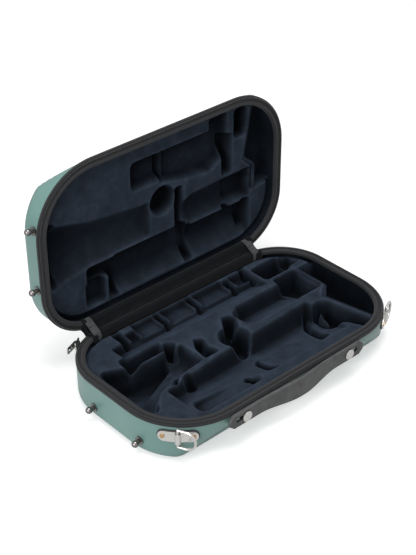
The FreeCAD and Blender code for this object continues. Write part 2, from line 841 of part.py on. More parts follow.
def make_d_ring(axis, middle):
    """A D ring about its bar, turned out from the wall by its resting angle."""
    legs = ring_reach - ring_bar / 2
    half_bar = ring_bar / 2
    bar = post(axis - vector(0, 0, half_bar), vector(0, 0, 1), ring_wire, ring_bar)
    pieces = []
    for end in (-1, 1):
        corner = axis + vector(0, 0, end * half_bar)
        pieces.append(Part.makeSphere(ring_wire, corner))
        pieces.append(post(corner, vector(1, 0, 0), ring_wire, legs))
    middle_point = axis + vector(legs, 0, 0)
    section_middle = middle_point - vector(0, 0, half_bar)
    section = Part.Face(Part.Wire(Part.makeCircle(ring_wire, section_middle, vector(1, 0, 0))))
    pieces.append(section.revolve(middle_point, vector(0, -1, 0), half_turn))
    ring = bar.fuse(pieces).removeSplitter()
    ring.rotate(axis, vector(0, 0, 1), middle + right_angle - ring_rest_angle)
    return ring


ring_screws = []
ring_passages = []


def cloth_strip(points, thickness, low_x, high_x):
    """A strip of cloth along X, whose section follows a chain of points in Y and Z."""
    wire = Part.makePolygon([vector(low_x, y, z) for y, z in points])
    contour = wire.makeOffset2D(thickness / 2)
    return Part.Face(contour).extrude(vector(high_x - low_x, 0, 0))


def make_hinge():
    """The hinge's outer tape and inner cloth, from the base's rear wall to the open lid's."""
    lid_edge_y = hinge_y + closed_gap
    lid_wall_z = hinge_z + hinge_offset
    half = hinge_length / 2
    layer = hinge_cloth / 2 + fit_gap
    outer_y = half_width + layer
    under_z = lid_wall_z - layer
    outer = (
        (outer_y, base_depth - hinge_leaf),
        (outer_y, base_depth - hinge_slack),
        (lid_edge_y, under_z),
        (lid_edge_y + hinge_leaf, under_z),
    )
    parts["hinge_tape"] = cloth_strip(outer, hinge_cloth, -half, half)
    inner_y = half_width - shell_wall - lining_thickness
    face_y = lid_edge_y - layer
    inner = (
        (inner_y, base_depth + layer),
        (half_width, base_depth + layer),
        (face_y, lid_wall_z + hinge_rise),
        (face_y, lid_wall_z + shell_wall),
    )
    parts["hinge_lining"] = cloth_strip(inner, hinge_cloth, -half, half)


def make_ribbons():
    """The two stay ribbons that hold the lid upright, over the welts at the hinge's ends."""
    clear = ribbon_thickness / 2 + running_gap
    welt_outer = half_width - welt_inset
    welt_curve = rear_corner_radius - welt_inset - welt_width
    past_corner = ribbon_x + ribbon_width / 2 - rear_centre_x
    welt_inner = rear_centre_y + math.sqrt(welt_curve ** 2 - past_corner ** 2)
    welt_top = base_depth + welt_rise
    lid_welt_y = hinge_y + closed_gap - welt_rise
    lid_welt_high = hinge_z + hinge_y - welt_inner
    points = (
        (welt_inner - clear, base_depth - welt_drop),
        (welt_inner - clear, welt_top + clear),
        (welt_outer, welt_top + clear),
        (lid_welt_y - clear, lid_welt_high + clear),
        (hinge_y + closed_gap + welt_drop, lid_welt_high + clear),
    )
    for name, middle in (("stay_ribbon_left", -ribbon_x), ("stay_ribbon_right", ribbon_x)):
        low_x = middle - ribbon_width / 2
        parts[name] = cloth_strip(points, ribbon_thickness, low_x, low_x + ribbon_width)


def make_slider():
    """The zip slider and its pull, drawn flat on the corner's arc and turned to their place."""
    centre = vector(-rear_centre_x, rear_centre_y, base_depth + closed_gap / 2)
    wall = rear_corner_radius + running_gap
    half = slider_length / 2
    body = box(wall, wall + slider_thickness, -half, half, -slider_height / 2, slider_height / 2)
    body = body.makeFillet(slider_round, body.Edges)
    relief_x = wall + slider_relief
    body = body.cut(box(wall - cut_overrun, relief_x, -slider_length, slider_length, 0, slider_height))
    bridge_half = slider_bridge_length / 2
    bridge_top = wall + slider_thickness + slider_bridge_height
    bar = slider_bridge_width
    bridge = box(wall + slider_thickness / 2, bridge_top, -bridge_half, bridge_half, -bar / 2, bar / 2)
    pin_x = wall + slider_thickness + slider_bridge_height / 2
    eye = post(vector(pin_x, 0, -bar), vector(0, 0, 1), pull_pin_radius + running_gap, 2 * bar)
    slider = body.fuse(bridge).cut(eye)
    tab_half = pull_height / 2
    tab = box(-pull_thickness / 2, pull_thickness / 2, bridge_half, pull_length, -tab_half, tab_half)
    long_edges = [edge for edge in tab.Edges if edge.BoundBox.XLength > pull_thickness - fit_gap]
    tab = tab.makeFillet(pull_round, long_edges)
    eye_place = vector(-pull_thickness, pull_length - tab_half, 0)
    tab = tab.cut(post(eye_place, vector(1, 0, 0), pull_eye_radius, 2 * pull_thickness))
    cheek_height = tab_half - bar / 2 - running_gap
    cheeks = []
    for low_z in (-tab_half, tab_half - cheek_height):
        cheeks.append(box(-pull_thickness / 2, pull_thickness / 2, 0, bridge_half + tab_half, low_z,
                          low_z + cheek_height))
        cheeks.append(post(vector(0, 0, low_z), vector(0, 0, 1), pull_thickness / 2, cheek_height))
    pin = post(vector(0, 0, -tab_half), vector(0, 0, 1), pull_pin_radius, pull_height)
    room = bridge_half + running_gap + fit_gap
    pull = tab.cut(box(-pull_thickness, pull_thickness, 0, room, -tab_half, tab_half))
    pull = pull.fuse(cheeks + [pin]).removeSplitter()
    pull.rotate(vector(0, 0, 0), vector(0, 0, 1), -pull_lean)
    pull.translate(vector(pin_x, 0, 0))
    for name, shape in (("zipper_slider", slider), ("zipper_pull", pull)):
        shape.translate(centre)
        shape.rotate(centre, vector(0, 0, 1), slider_angle)
        parts[name] = largest(shape)
    dx, dy = polar(pin_x, slider_angle)
    print("slider turns about", centre.x, centre.y)
    print("pull turns about", round(centre.x + dx, 3), round(centre.y + dy, 3))


def make_base():
    """The base shell, its rim, lining, insert and divider."""
    shell = base_block(0, base_depth).cut(base_block(shell_wall, base_depth + cut_overrun))
    shell = shell.cut(foot_holes(base_foot_z))
    bore = foot_stem_radius + fit_gap
    stud_holes = []
    rooms = foot_nut_rooms(base_foot_z)
    for x in stud_places():
        start = vector(x, front_wall_y - cut_overrun, handle_z)
        stud_holes.append(post(start, vector(0, 1, 0), bore, shell_wall + 2 * cut_overrun))
        rooms.append(nut_clearance(vector(x, front_wall_y, handle_z), vector(0, 1, 0)))
    parts["base_shell"] = largest(shell.cut(stud_holes + ring_passages))
    lining = base_block(lining_inset, base_depth)
    lining = lining.cut(base_block(lining_inset + lining_thickness, base_depth + cut_overrun))
    parts["base_lining"] = largest(lining.cut(rooms + ring_passages))
    insert = base_block(insert_inset, base_insert_top)
    insert = insert.cut(bay_cutter(0, base_depth))
    insert = insert.cut(divider_wall(divider_thickness + 2 * fit_gap, 0, base_depth))
    insert = insert.cut(base_pockets() + rooms)
    parts["base_insert"] = largest(insert)
    low_z = insert_inset
    wall = divider_wall(divider_thickness, low_z, base_insert_top)
    parts["bay_divider"] = largest(wall.common(base_block(insert_inset, base_insert_top)))
    parts["base_zipper_tape"] = zip_tape(base_depth)
    parts["base_zipper_coil"] = zip_coil(base_depth + tape_thickness)
    parts["base_rim_welt"] = welt(base_depth - welt_drop)


def make_lid():
    """The lid shell, its rim, lining, insert and divider, drawn closed and turned open."""
    foot_z = lid_rim_z + lid_foot_rise
    shell = lid_block(0, lid_rim_z).cut(lid_block(shell_wall, lid_rim_z - cut_overrun))
    rooms = foot_nut_rooms(foot_z)
    shell = largest(shell.cut(foot_holes(foot_z)))
    lining = lid_block(lining_inset, lid_rim_z)
    lining = lining.cut(lid_block(lining_inset + lining_thickness, lid_rim_z - cut_overrun))
    welt_room = rim_ring(welt_inset - fit_gap, welt_width + 2 * fit_gap, lid_rim_z - cut_overrun,
                         lid_rim_z + welt_drop + fit_gap)
    lining = lining.cut([welt_room] + rooms)
    insert = lid_block(insert_inset, lid_insert_face)
    insert = insert.cut(bay_cutter(lid_rim_z, lid_top_z))
    insert = insert.cut(divider_wall(divider_thickness + 2 * fit_gap, lid_rim_z, lid_top_z))
    insert = insert.cut(lid_pockets() + rooms)
    wall = divider_wall(divider_thickness, lid_insert_face, lid_top_z - insert_inset)
    wall = wall.common(lid_block(insert_inset, lid_insert_face))
    parts["lid_shell"] = opened(shell)
    parts["lid_lining"] = opened(largest(lining))
    parts["lid_insert"] = opened(largest(insert))
    parts["lid_divider"] = opened(largest(wall))
    parts["lid_zipper_tape"] = opened(zip_tape(lid_rim_z - tape_thickness))
    parts["lid_zipper_coil"] = opened(zip_coil(lid_rim_z - tape_thickness - coil_height))
    parts["lid_rim_welt"] = opened(welt(lid_rim_z - welt_rise))


def make_feet():
    """The feet, washers and nuts of both shells, alike ones grouped together."""
    for shell, z, place in (("base", base_foot_z, None), ("lid", lid_rim_z + lid_foot_rise, opened)):
        groups = {"_feet": [], "_foot_washers": [], "_foot_nuts": []}
        for y in feet_y:
            for key, shape in zip(groups, make_foot(y, z)):
                groups[key].append(place(shape) if place else shape)
        for key, shapes in groups.items():
            parts[shell + key] = Part.makeCompound(shapes)


def make_studs():
    """The handle's studs, spacers and nuts, alike ones grouped together."""
    pieces = [make_stud(x) for x in stud_places()]
    for index, name in enumerate(("handle_studs", "handle_spacers", "handle_nuts")):
        parts[name] = Part.makeCompound([piece[index] for piece in pieces])


make_ring_set("left")
make_ring_set("right")
parts["d_ring_screws"] = Part.makeCompound(ring_screws)
make_base()
make_lid()
make_feet()
make_studs()
make_strap()
make_hinge()
make_ribbons()
make_slider()

os.makedirs("parts", exist_ok=True)
for name, shape in parts.items():
    shape.exportStep("parts/" + name + ".step")
    size = shape.BoundBox
    print(name, shape.isValid(), len(shape.Solids), round(shape.Volume), [round(v, 1) for v in (
        size.XMin, size.XMax, size.YMin, size.YMax, size.ZMin, size.ZMax)])
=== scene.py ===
# %% [markdown]
# # A clarinet case, dressed
# The case is two moulded shells that open like a book on a strip of cloth. A zip closes their rims,
# and each shell holds a fitted insert covered in dark plush. The measured model already says where
# every piece is and how it moves, so this lesson makes only the looks: shells, plush, zip, cloth
# and leather are rebuilt with their softness and grain, and metal and rubber only get a finish.

# %% Load the measured model
import bpy
import json
import math
import numpy as np
from mathutils import Matrix, Vector


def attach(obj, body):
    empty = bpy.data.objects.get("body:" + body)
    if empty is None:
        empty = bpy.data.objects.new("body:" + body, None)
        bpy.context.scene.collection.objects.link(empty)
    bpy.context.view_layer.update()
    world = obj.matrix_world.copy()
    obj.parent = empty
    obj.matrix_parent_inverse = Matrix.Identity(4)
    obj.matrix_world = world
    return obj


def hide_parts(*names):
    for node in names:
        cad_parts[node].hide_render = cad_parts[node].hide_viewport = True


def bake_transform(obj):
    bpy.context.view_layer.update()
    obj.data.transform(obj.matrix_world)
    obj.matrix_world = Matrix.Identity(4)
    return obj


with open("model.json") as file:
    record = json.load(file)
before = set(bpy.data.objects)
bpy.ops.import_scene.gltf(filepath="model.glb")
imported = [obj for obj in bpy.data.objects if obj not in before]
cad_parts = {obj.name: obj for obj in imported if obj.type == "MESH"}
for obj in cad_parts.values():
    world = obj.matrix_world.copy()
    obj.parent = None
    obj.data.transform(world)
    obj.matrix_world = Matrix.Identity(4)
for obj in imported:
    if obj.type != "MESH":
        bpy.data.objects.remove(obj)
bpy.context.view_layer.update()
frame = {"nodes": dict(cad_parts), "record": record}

MM = 0.001
nodes = frame["nodes"]

# %% [markdown]
# ## Camera
# The view is down on the case's front left corner. A long lens keeps the shells' sides nearly
# parallel. The camera's axes are worked out from its compass angle, its height angle and a small
# roll, and go straight into its matrix, which leaves nothing to an aiming constraint.

# %% Place the camera
camera_place = Vector((-0.7996, -0.8390, 0.8949))
camera_azimuth = math.radians(-42.12)
camera_elevation = math.radians(33.79)
camera_roll = math.radians(-0.27)
camera_lens = 83.2

back = Vector((
    math.sin(camera_azimuth) * math.cos(camera_elevation),
    -math.cos(camera_azimuth) * math.cos(camera_elevation),
    math.sin(camera_elevation),
))
level_right = Vector((math.cos(camera_azimuth), math.sin(camera_azimuth), 0))
level_up = back.cross(level_right)
right = level_right * math.cos(camera_roll) + level_up * math.sin(camera_roll)
up = level_up * math.cos(camera_roll) - level_right * math.sin(camera_roll)
camera = bpy.data.objects.new("camera", bpy.data.cameras.new("camera"))
camera.data.lens = camera_lens
camera.data.clip_start = 0.05
camera.data.clip_end = 50
turn = Matrix((right, up, back)).transposed().to_4x4()
camera.matrix_world = Matrix.Translation(camera_place) @ turn
bpy.context.scene.collection.objects.link(camera)
bpy.context.scene.camera = camera
print("camera stands at", [round(value, 3) for value in camera_place], "with a lens of", camera_lens, "mm")

# %% [markdown]
# ## Sizes
# These are the case's own sizes in millimetres, the same ones that its model is made to. The shells
# share one outline: a rectangle whose front corners are a little rounder than the rear ones. Each
# shell's front leans in from its bevel's start, below the rim, to its outer face.

# %% The case's sizes
half_length = 177.5
half_width = 104.0
front_radius = 76.0
rear_radius = 66.0
edge_radius = 13.0
shell_depths = {"base": 50.0, "lid": 32.0}
shell_wall = 2.5
lining_wall = 1.5
insert_inset = 4.2
insert_faces = {"base": 45.5, "lid": 21.5}
bevel_starts = {"base": 14.0, "lid": 2.0}
bevel_reaches = {"base": 28.0, "lid": 30.0}
zip_end_x = 134.0
hinge_y = 105.3
hinge_z = 50.0
closed_gap = 6.0
lid_top = shell_depths["base"] + closed_gap + shell_depths["lid"]
corner_steps = 20
side_steps = 24


def placed(points, shell):
    """Turns places in a shell (x, y and height above its outer face) into the model's metres."""
    points = np.asarray(points, float)
    if shell == "base":
        return points * MM
    x, y, height = points.T
    return np.column_stack([x, hinge_y + lid_top - hinge_z - height, hinge_z + hinge_y - y]) * MM


def bevel_limit(shell, inset, height):
    """The foremost y that a shell's bevelled front leaves at a height above its outer face."""
    rise = shell_depths[shell] - bevel_starts[shell]
    reach = bevel_reaches[shell]
    lean = inset * math.hypot(rise, reach) / rise
    return lean - half_width + reach * (1 - np.asarray(height) / rise)


def bevelled(points, shell, inset, softness):
    """Moves places behind the bevelled front, with a soft crease."""
    limit = bevel_limit(shell, inset, points[:, 2])
    gap = points[:, 1] - limit
    points[:, 1] = limit + (gap + np.sqrt(gap ** 2 + softness ** 2)) / 2
    return points


# %% [markdown]
# ## Mesh helpers
# Nearly every piece is a section swept round the outline, or a grid of places. These helpers make
# such pieces and hand them to the model.

# %% Make a mesh, an outline and a sweep
def make_piece(name, points, faces, edges=(), smooth=True):
    """A mesh object at the origin, from places in metres."""
    mesh = bpy.data.meshes.new(name)
    mesh.from_pydata([tuple(point) for point in points], edges, faces)
    mesh.polygons.foreach_set("use_smooth", [smooth] * len(mesh.polygons))
    mesh.update()
    piece = bpy.data.objects.new(name, mesh)
    bpy.context.scene.collection.objects.link(piece)
    return piece


def shell_piece(name, points, faces, shell):
    """A piece from places in a shell. The lid is mirrored in height, so its faces are flipped."""
    if shell == "lid":
        faces = [tuple(reversed(face)) for face in faces]
    return make_piece(name, placed(points, shell), faces)


def grid_faces(rows, columns, wrap_rows=False, wrap_columns=False):
    """Faces of a grid of places. A wrap joins its last row or column to its first."""
    faces = []
    for row in range(rows if wrap_rows else rows - 1):
        low, high = row * columns, (row + 1) % rows * columns
        for column in range(columns if wrap_columns else columns - 1):
            beside = (column + 1) % columns
            faces.append((low + column, low + beside, high + beside, high + column))
    return faces


def dress(piece, body, node, material=None):
    """Gives a piece its finish, hides the node that it takes the place of, and lets it ride on a body if one
    is given.
    """
    if material is not None:
        piece.data.materials.append(material)
    if body is not None:
        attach(piece, body)
    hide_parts(node)
    print(piece.name, len(piece.data.polygons), "faces")


def arc_points(centre_x, centre_y, radius, start, end):
    """Places on a corner's arc, between two angles in degrees."""
    angles = [math.radians(start + (end - start) * step / corner_steps) for step in range(corner_steps + 1)]
    return [(centre_x + radius * math.cos(angle), centre_y + radius * math.sin(angle)) for angle in angles]


def outline(inset=0.0, end_x=None):
    """The case's outline, counterclockwise, as rows of x and y. An end leaves it open along the rear."""
    front, rear = front_radius - inset, rear_radius - inset
    front_x, front_y = half_length - front_radius, front_radius - half_width
    rear_x, rear_y = half_length - rear_radius, half_width - rear_radius
    last = 90.0
    if end_x is not None:
        last = math.degrees(math.acos((end_x - rear_x) / rear_radius))
    corners = [
        arc_points(-rear_x, rear_y, rear, 180 - last, 180),
        arc_points(-front_x, front_y, front, 180, 270),
        arc_points(front_x, front_y, front, 270, 360),
        arc_points(rear_x, rear_y, rear, 0, last),
    ]
    rows = []
    for index, corner in enumerate(corners):
        rows.extend(corner)
        if index == 3 and end_x is not None:
            break
        start, end = corner[-1], corners[(index + 1) % 4][0]
        for step in range(1, side_steps):
            share = step / side_steps
            rows.append(tuple(a + (b - a) * share for a, b in zip(start, end)))
    return np.array(rows)


def sweep(name, section, shell, end_x=None, ring=True, bevel=0.0):
    """Sweeps a section of (inset, height) pairs round the outline, as a ring or else closed by flat faces
    that span the case. With a bevel, the softness of the crease where the front leans in, each pair also
    has the inset of the wall that it lies on."""
    points = []
    for pair in section:
        base = outline(pair[0], end_x)
        row = np.column_stack([base, np.full(len(base), pair[1])])
        points.append(bevelled(row, shell, pair[2], bevel) if bevel else row)
    rows, count = len(section), len(points[0])
    faces = grid_faces(rows, count, ring, end_x is None)
    if not ring:
        faces.append(tuple(reversed(range(count))))
        faces.append(tuple(range((rows - 1) * count, rows * count)))
    if end_x is not None:
        faces.append(tuple(row * count for row in range(rows)))
        faces.append(tuple(row * count + count - 1 for row in reversed(range(rows))))
    return shell_piece(name, np.vstack(points), faces, shell)


print("outline has", len(outline()), "places")

# %% [markdown]
# ## Materials
# Each finish is a small tree of nodes on the piece's own coordinates. A few helpers add the nodes
# that all of them need: noise at a real size, a bump, and shades of one colour.

# %% Node helpers
def new_material(name, colour, roughness, **more):
    """A material and its shader, with inputs set. An underscore stands for a space in an input's name."""
    material = bpy.data.materials.new(name)
    material.use_nodes = True
    shader = material.node_tree.nodes["Principled BSDF"]
    shader.inputs["Base Color"].default_value = (*colour, 1)
    shader.inputs["Roughness"].default_value = roughness
    for key, value in more.items():
        shader.inputs[key.replace("_", " ")].default_value = value
    return material, shader


def add(material, kind, **values):
    """A node with its inputs and properties set, named in the same way."""
    node = material.node_tree.nodes.new(kind)
    for key, value in values.items():
        socket = key.replace("_", " ")
        if socket in node.inputs:
            node.inputs[socket].default_value = value
        else:
            setattr(node, key, value)
    return node


def join(material, source, output, target, socket):
    """A link from one node's output to another's input."""
    material.node_tree.links.new(source.outputs[output], target.inputs[socket])


def noise(material, size_mm, detail=3.0, stretch=(1, 1, 1), rough=0.5):
    """Noise whose grain is about one size in millimetres on the piece."""
    place = add(material, "ShaderNodeTexCoord")
    mapping = add(material, "ShaderNodeMapping", Scale=stretch)
    grain = add(material, "ShaderNodeTexNoise", Scale=1 / (size_mm * MM), Detail=detail, Roughness=rough)
    join(material, place, "Object", mapping, "Vector")
    join(material, mapping, "Vector", grain, "Vector")
    return grain


def shades(material, source, colour, stops):
    """A ramp over a value whose stops are a place and how much lighter than the colour it is."""
    ramp = add(material, "ShaderNodeValToRGB")
    while len(ramp.color_ramp.elements) < len(stops):
        ramp.color_ramp.elements.new(0.5)
    for element, (place, factor) in zip(ramp.color_ramp.elements, stops):
        element.position = place
        element.color = (*(part * factor for part in colour), 1)
    join(material, source, "Fac", ramp, "Fac")
    return ramp


def roughen(material, shader, source, low, high):
    """Lets the roughness vary with a value."""
    spread = add(material, "ShaderNodeMapRange", To_Min=low, To_Max=high)
    join(material, source, "Fac", spread, "Value")
    join(material, spread, "Result", shader, "Roughness")


def bump(material, shader, source, height_mm, strength, before=None, output="Fac"):
    """A bump of a real height from a value, after another bump if one is given."""
    node = add(material, "ShaderNodeBump", Strength=strength, Distance=height_mm * MM)
    join(material, source, output, node, "Height")
    if before is not None:
        join(material, before, "Normal", node, "Normal")
    join(material, node, "Normal", shader, "Normal")
    return node


def grained(name, colour, roughness, grain, stops, height_mm, strength, worn=None, **more):
    """A material whose tone and bump, and its roughness if it is worn, follow one fine noise."""
    material, shader = new_material(name, colour, roughness, **more)
    threads = noise(material, *grain)
    ramp = shades(material, threads, colour, stops)
    join(material, ramp, "Color", shader, "Base Color")
    bump(material, shader, threads, height_mm, strength)
    if worn is not None:
        roughen(material, shader, threads, roughness, worn)
    return material


# %% [markdown]
# The shells are satin moulded plastic with a fine skin, in a grey sea green. The plush is a short
# navy pile with a pale bloom at grazing angles and blotches where it lies one way or the other. Its
# colour carries painted shade, darker the less of the sky it sees, and a painted highlight on standing
# edges; each plush piece carries this painted light as an attribute.

# %% Shell and plush
shell_colour = (0.124, 0.236, 0.216)
shell_finish, shader = new_material("satin green shell", shell_colour, 0.38, Coat_Weight=0.25,
                                    Coat_Roughness=0.3)
ramp = shades(shell_finish, noise(shell_finish, 60, 2), shell_colour, [(0.35, 0.94), (0.65, 1.05)])
join(shell_finish, ramp, "Color", shader, "Base Color")
bump(shell_finish, shader, noise(shell_finish, 0.6, 2), 0.03, 0.5)
roughen(shell_finish, shader, noise(shell_finish, 12, 5, (1, 1, 0.3)), 0.32, 0.46)

plush_colour = (0.0215, 0.0295, 0.0425)
plush_bloom = (0.35, 0.5, 0.8, 1)
# Painted light and shade: at each level of painted skylight, how much darker or lighter the plush's colour is
# painted.
painted_light_levels = [(0.2, 0.075), (0.4, 0.21), (0.62, 0.52), (0.78, 0.88), (0.88, 1.11), (1.0, 1.62)]
plush, shader = new_material("navy plush", plush_colour, 0.9, Sheen_Weight=0.15, Sheen_Roughness=0.38,
                             Sheen_Tint=plush_bloom, Specular_IOR_Level=0.06)
lay = noise(plush, 16, 4, rough=0.6)
ramp = shades(plush, lay, plush_colour, [(0.3, 0.75), (0.5, 1), (0.72, 1.35)])
# Painted shade: the attribute's level picks a factor that multiplies the plush's colour, so hollows are
# painted darker and standing edges lighter.
sky = add(plush, "ShaderNodeAttribute", attribute_name="open_sky")
depth = shades(plush, sky, (1, 1, 1), painted_light_levels)
mix = add(plush, "ShaderNodeMix", data_type="RGBA", blend_type="MULTIPLY", Factor=1.0)
# The mix's colour sockets share their names with others, so they go by number.
join(plush, ramp, "Color", mix, 6)
join(plush, depth, "Color", mix, 7)
join(plush, mix, 2, shader, "Base Color")
pile = bump(plush, shader, noise(plush, 0.9, 4, rough=0.7), 0.5, 0.6)
bump(plush, shader, lay, 1.2, 0.5, pile)
print("materials:", [material.name for material in bpy.data.materials if material.users])

# %% [markdown]
# ## The inserts
# Each insert is one sheet of plush drawn down into hollows for the instrument's joints. A height
# map makes that well: every hollow is a plan shape with a depth, the deepest wins at each place, and
# a blur of about a millimetre rounds all edges, as cloth over a moulded edge does.

# %% Helpers for hollows
field_step = 0.8
field_x = np.arange(-184.0, 184.0 + field_step, field_step)
field_y = np.arange(-110.0, 110.0 + field_step, field_step)
X, Y = np.meshgrid(field_x, field_y)
edge_blur = 0.8
wall_lean = 0.6
trough_wall = 3.0
slope_wall = 2.5
channel_wall = 4.0
border_drop = 5.0
border_hidden = 5.5
border_round = 3.5
trough_curve = 0.75
slope_curve = 0.8
blur_spans = 3
bay_margin = 1
bay_room = 0.4
wall_room = 0.4
floor_room = 0.2


def smooth_share(value):
    """0 below 0, 1 above 1 and an even curve between."""
    value = np.clip(value, 0, 1)
    return value * value * (3 - 2 * value)


def past_box(past_x, past_y):
    """Distance outside a box, from how far a place is past its sides."""
    return np.hypot(np.maximum(past_x, 0), np.maximum(past_y, 0)) + np.minimum(np.maximum(past_x, past_y), 0)


def block(low_x, high_x, low_y, high_y, corner, turn=0.0):
    """Distance inside a rounded rectangle, positive inside. It may be turned by degrees about its middle."""
    middle_x, middle_y = (low_x + high_x) / 2, (low_y + high_y) / 2
    cos, sin = math.cos(math.radians(turn)), math.sin(math.radians(turn))
    along = (X - middle_x) * cos + (Y - middle_y) * sin
    across = (Y - middle_y) * cos - (X - middle_x) * sin
    past_x = np.abs(along) - (high_x - low_x) / 2 + corner
    past_y = np.abs(across) - (high_y - low_y) / 2 + corner
    return corner - past_box(past_x, past_y)


def disc(x, y, radius):
    """Distance inside a circle."""
    return radius - np.hypot(X - x, Y - y)


def polygon(corners):
    """Distance inside a plan shape with straight sides."""
    inside = np.zeros(X.shape, bool)
    distance = np.full(X.shape, 1e9)
    for (ax, ay), (bx, by) in zip(corners, corners[1:] + corners[:1]):
        square = (bx - ax) ** 2 + (by - ay) ** 2
        along = np.clip(((X - ax) * (bx - ax) + (Y - ay) * (by - ay)) / square, 0, 1)
        distance = np.minimum(distance, np.hypot(X - ax - along * (bx - ax), Y - ay - along * (by - ay)))
        crosses = (ay > Y) != (by > Y)
        if by != ay:
            inside ^= crosses & (X < (bx - ax) * (Y - ay) / (by - ay) + ax)
    return np.where(inside, distance, -distance)


def sunk(shape, depth, wall):
    """A hollow of one depth with leaning walls."""
    return depth * smooth_share(shape / (wall * wall_lean))


def side_walls(low_x, high_x, wall):
    """1 between two places along X, 0 beyond them, and a wall between."""
    return smooth_share((X - low_x) / wall) * smooth_share((high_x - X) / wall)


def trough(sections, steep=0.14):
    """A trough along X with a steep rear wall and a floor that rises to its front, from rows of x, rear y,
    front y and depth."""
    xs, *others = zip(*sections)
    rear, front, depth = (np.interp(X, xs, values) for values in others)
    across = np.clip((rear - Y) / (rear - front), 0, 1)
    fall = smooth_share(across / steep) * ((1 - across) / (1 - steep)) ** trough_curve
    return depth * np.minimum(fall, 1) * side_walls(xs[0], xs[-1], trough_wall)


def sloped(low_x, high_x, low_y, high_y, depth, slope):
    """A flat hollow whose rear side rises gently over a slope."""
    front = smooth_share((Y - low_y) / slope_wall)
    rear = np.clip((high_y - Y) / slope, 0, 1) ** slope_curve
    return depth * side_walls(low_x, high_x, slope_wall) * front * rear


def channel(sections):
    """A round-bottomed trough along X, from rows of x, middle y, half width and depth."""
    xs, *others = zip(*sections)
    middle, half, depth = (np.interp(X, xs, values) for values in others)
    across = np.clip(1 - ((Y - middle) / half) ** 2, 0, 1)
    return depth * np.sqrt(across) * side_walls(xs[0], xs[-1], channel_wall)


def deepest(blocks, plans, others):
    """The deepest of all hollows at each place. A block's row is its low and high x, low and high y, corner,
    depth, wall and any turn; a plan's row is its depth, wall and corners."""
    made = [sunk(block(*row[:5], *row[7:]), *row[5:7]) for row in blocks]
    made += [sunk(polygon(corners), depth, wall) for depth, wall, corners in plans]
    return np.maximum.reduce(made + others)


def blurred(field, size_mm):
    """A field with its edges softened over a size."""
    reach = int(blur_spans * size_mm / field_step) + 1
    steps = np.arange(-reach, reach + 1)
    weights = np.exp(-0.5 * (steps * field_step / size_mm) ** 2)
    weights /= weights.sum()
    padded = np.pad(field, reach, mode="edge")
    rows = sum(weight * padded[:, index:index + field.shape[1]] for index, weight in enumerate(weights))
    return sum(weight * rows[index:index + field.shape[0], :] for index, weight in enumerate(weights))


def border():
    """The rounded fall of the sheet's edge towards the insert's outline."""
    corner = np.where(Y < 0, front_radius, rear_radius)
    past_x = np.abs(X) - half_length + corner
    past_y = np.abs(Y) - half_width + corner
    gap = corner - past_box(past_x, past_y) - insert_inset
    return border_drop * (1 - smooth_share((gap - border_hidden) / border_round))


def wall_height(shell):
    """How high the leaning front wall's inside stands at each place, with a little room."""
    rise = shell_depths[shell] - bevel_starts[shell]
    foot = bevel_limit(shell, insert_inset + wall_room, 0.0)
    return np.maximum(rise * (foot - Y) / bevel_reaches[shell], insert_inset + floor_room)


def settled(field, mounds, shell, bay, bay_wall, least=-math.inf):
    """A field with its mounds left standing, its border and edges rounded, the accessory bay sunk to the
    tray's floor, and no place deeper than the leaning front leaves room for."""
    for share, depth in mounds:
        field = field * (1 - share) + np.minimum(field, depth) * share
    field = blurred(np.maximum(field, border()), edge_blur)
    bay_depth = insert_faces[shell] - insert_inset - bay_room
    field = np.maximum(field, bay_depth * smooth_share((polygon(bay) + bay_margin) / bay_wall))
    field = np.minimum(field, np.maximum(insert_faces[shell] - wall_height(shell), least))
    print("deepest hollow in the", shell, round(float(field.max()), 1), "mm")
    return field


print("hollows are worked out on", X.shape, "places")

# %% [markdown]
# The base holds the bell at the left, the round pocket in the middle, the lower joint along the
# front, the upper joint along the rear with a row of shallow key pockets behind it, and the barrel
# and mouthpiece at the right. Depths are in millimetres below the insert's face.

# %% The base's hollows
bay_side = [(143.5, -2.0), (125.0, -16.0), (138.0, -80.0)]
base_bay = [(143.5, 44.0), *bay_side, (134.0, -110.0), (190.0, -110.0), (190.0, 44.0)]
base_blocks = [
    (-161, -147, -46, 44, 9, 40, 5),
    (-98, -84, -34, -20, 4, 24, 3, 20),
    (-79, -66, 19, 37, 3, 27, 3, -30),
    (-120, -33, -80, -59, 9, 7, 3),
    (-131, -76, 29.5, 48, 5, 24, 4),
    (-106, -95, 66, 92, 3, 18, 3),
    (-94, -79, 66, 82, 3, 10, 3),
    (-79, -46, 68, 91, 3, 8, 3),
    (-46, -38, 63, 91, 2, 15, 2.5),
    (-37, 3, 67, 91, 3, 9, 3),
    (3, 11, 62, 91, 2, 17, 2.5),
    (12, 58, 68, 90, 3, 9, 3),
    (58, 67, 63, 86, 2, 17, 2.5),
    (68, 90, 69, 87, 3, 11, 3),
    (88, 96, 62, 93, 2, 20, 2.5),
    (104.5, 141, 1, 47, 4, 33, 3),
    (100, 143, 52, 81, 5, 26, 4),
    (142, 159, 56, 77, 4, 18, 3),
]
base_plans = [
    (33, 3, [(-149, -4), (-149, 34), (-132, 26), (-84, 26), (-84, 15), (-112, 6)]),
    (37, 3, [(-119, -20), (-108, -24), (-96, -15), (-84, -1), (-88, 3), (-101, -7)]),
    (32, 3, [(-55, -11), (-35, -11), (-40, 3), (-35, 17), (-43, 22), (-52, 8)]),
    (30, 3, [(-17, -73), (-3, -73), (-7, -62), (-4, -44), (1, -35), (-12, -44)]),
    (31, 3, [(66, -71), (82, -69), (80, -56), (86, -38), (101, -14), (93, -13), (78, -30), (71, -50)]),
    (20, 3, [(-49, -64), (-40, -60), (-35, -70), (-36, -79), (-42, -79), (-44, -70)]),
    (30, 3, [(-5, 13), (8, 31), (17, 29), (19, 22), (12, 8)]),
    (33, 4, [(101, -21), (114, -20), (122, -28), (133, -84), (117, -88), (108, -70), (92, -58), (91, -48)]),
]
bell = [(-161, 2, 40, 39), (-146, 2, 39, 38), (-131, 4, 28, 30), (-105, 5, 21.5, 23), (-58, 7, 18, 18)]
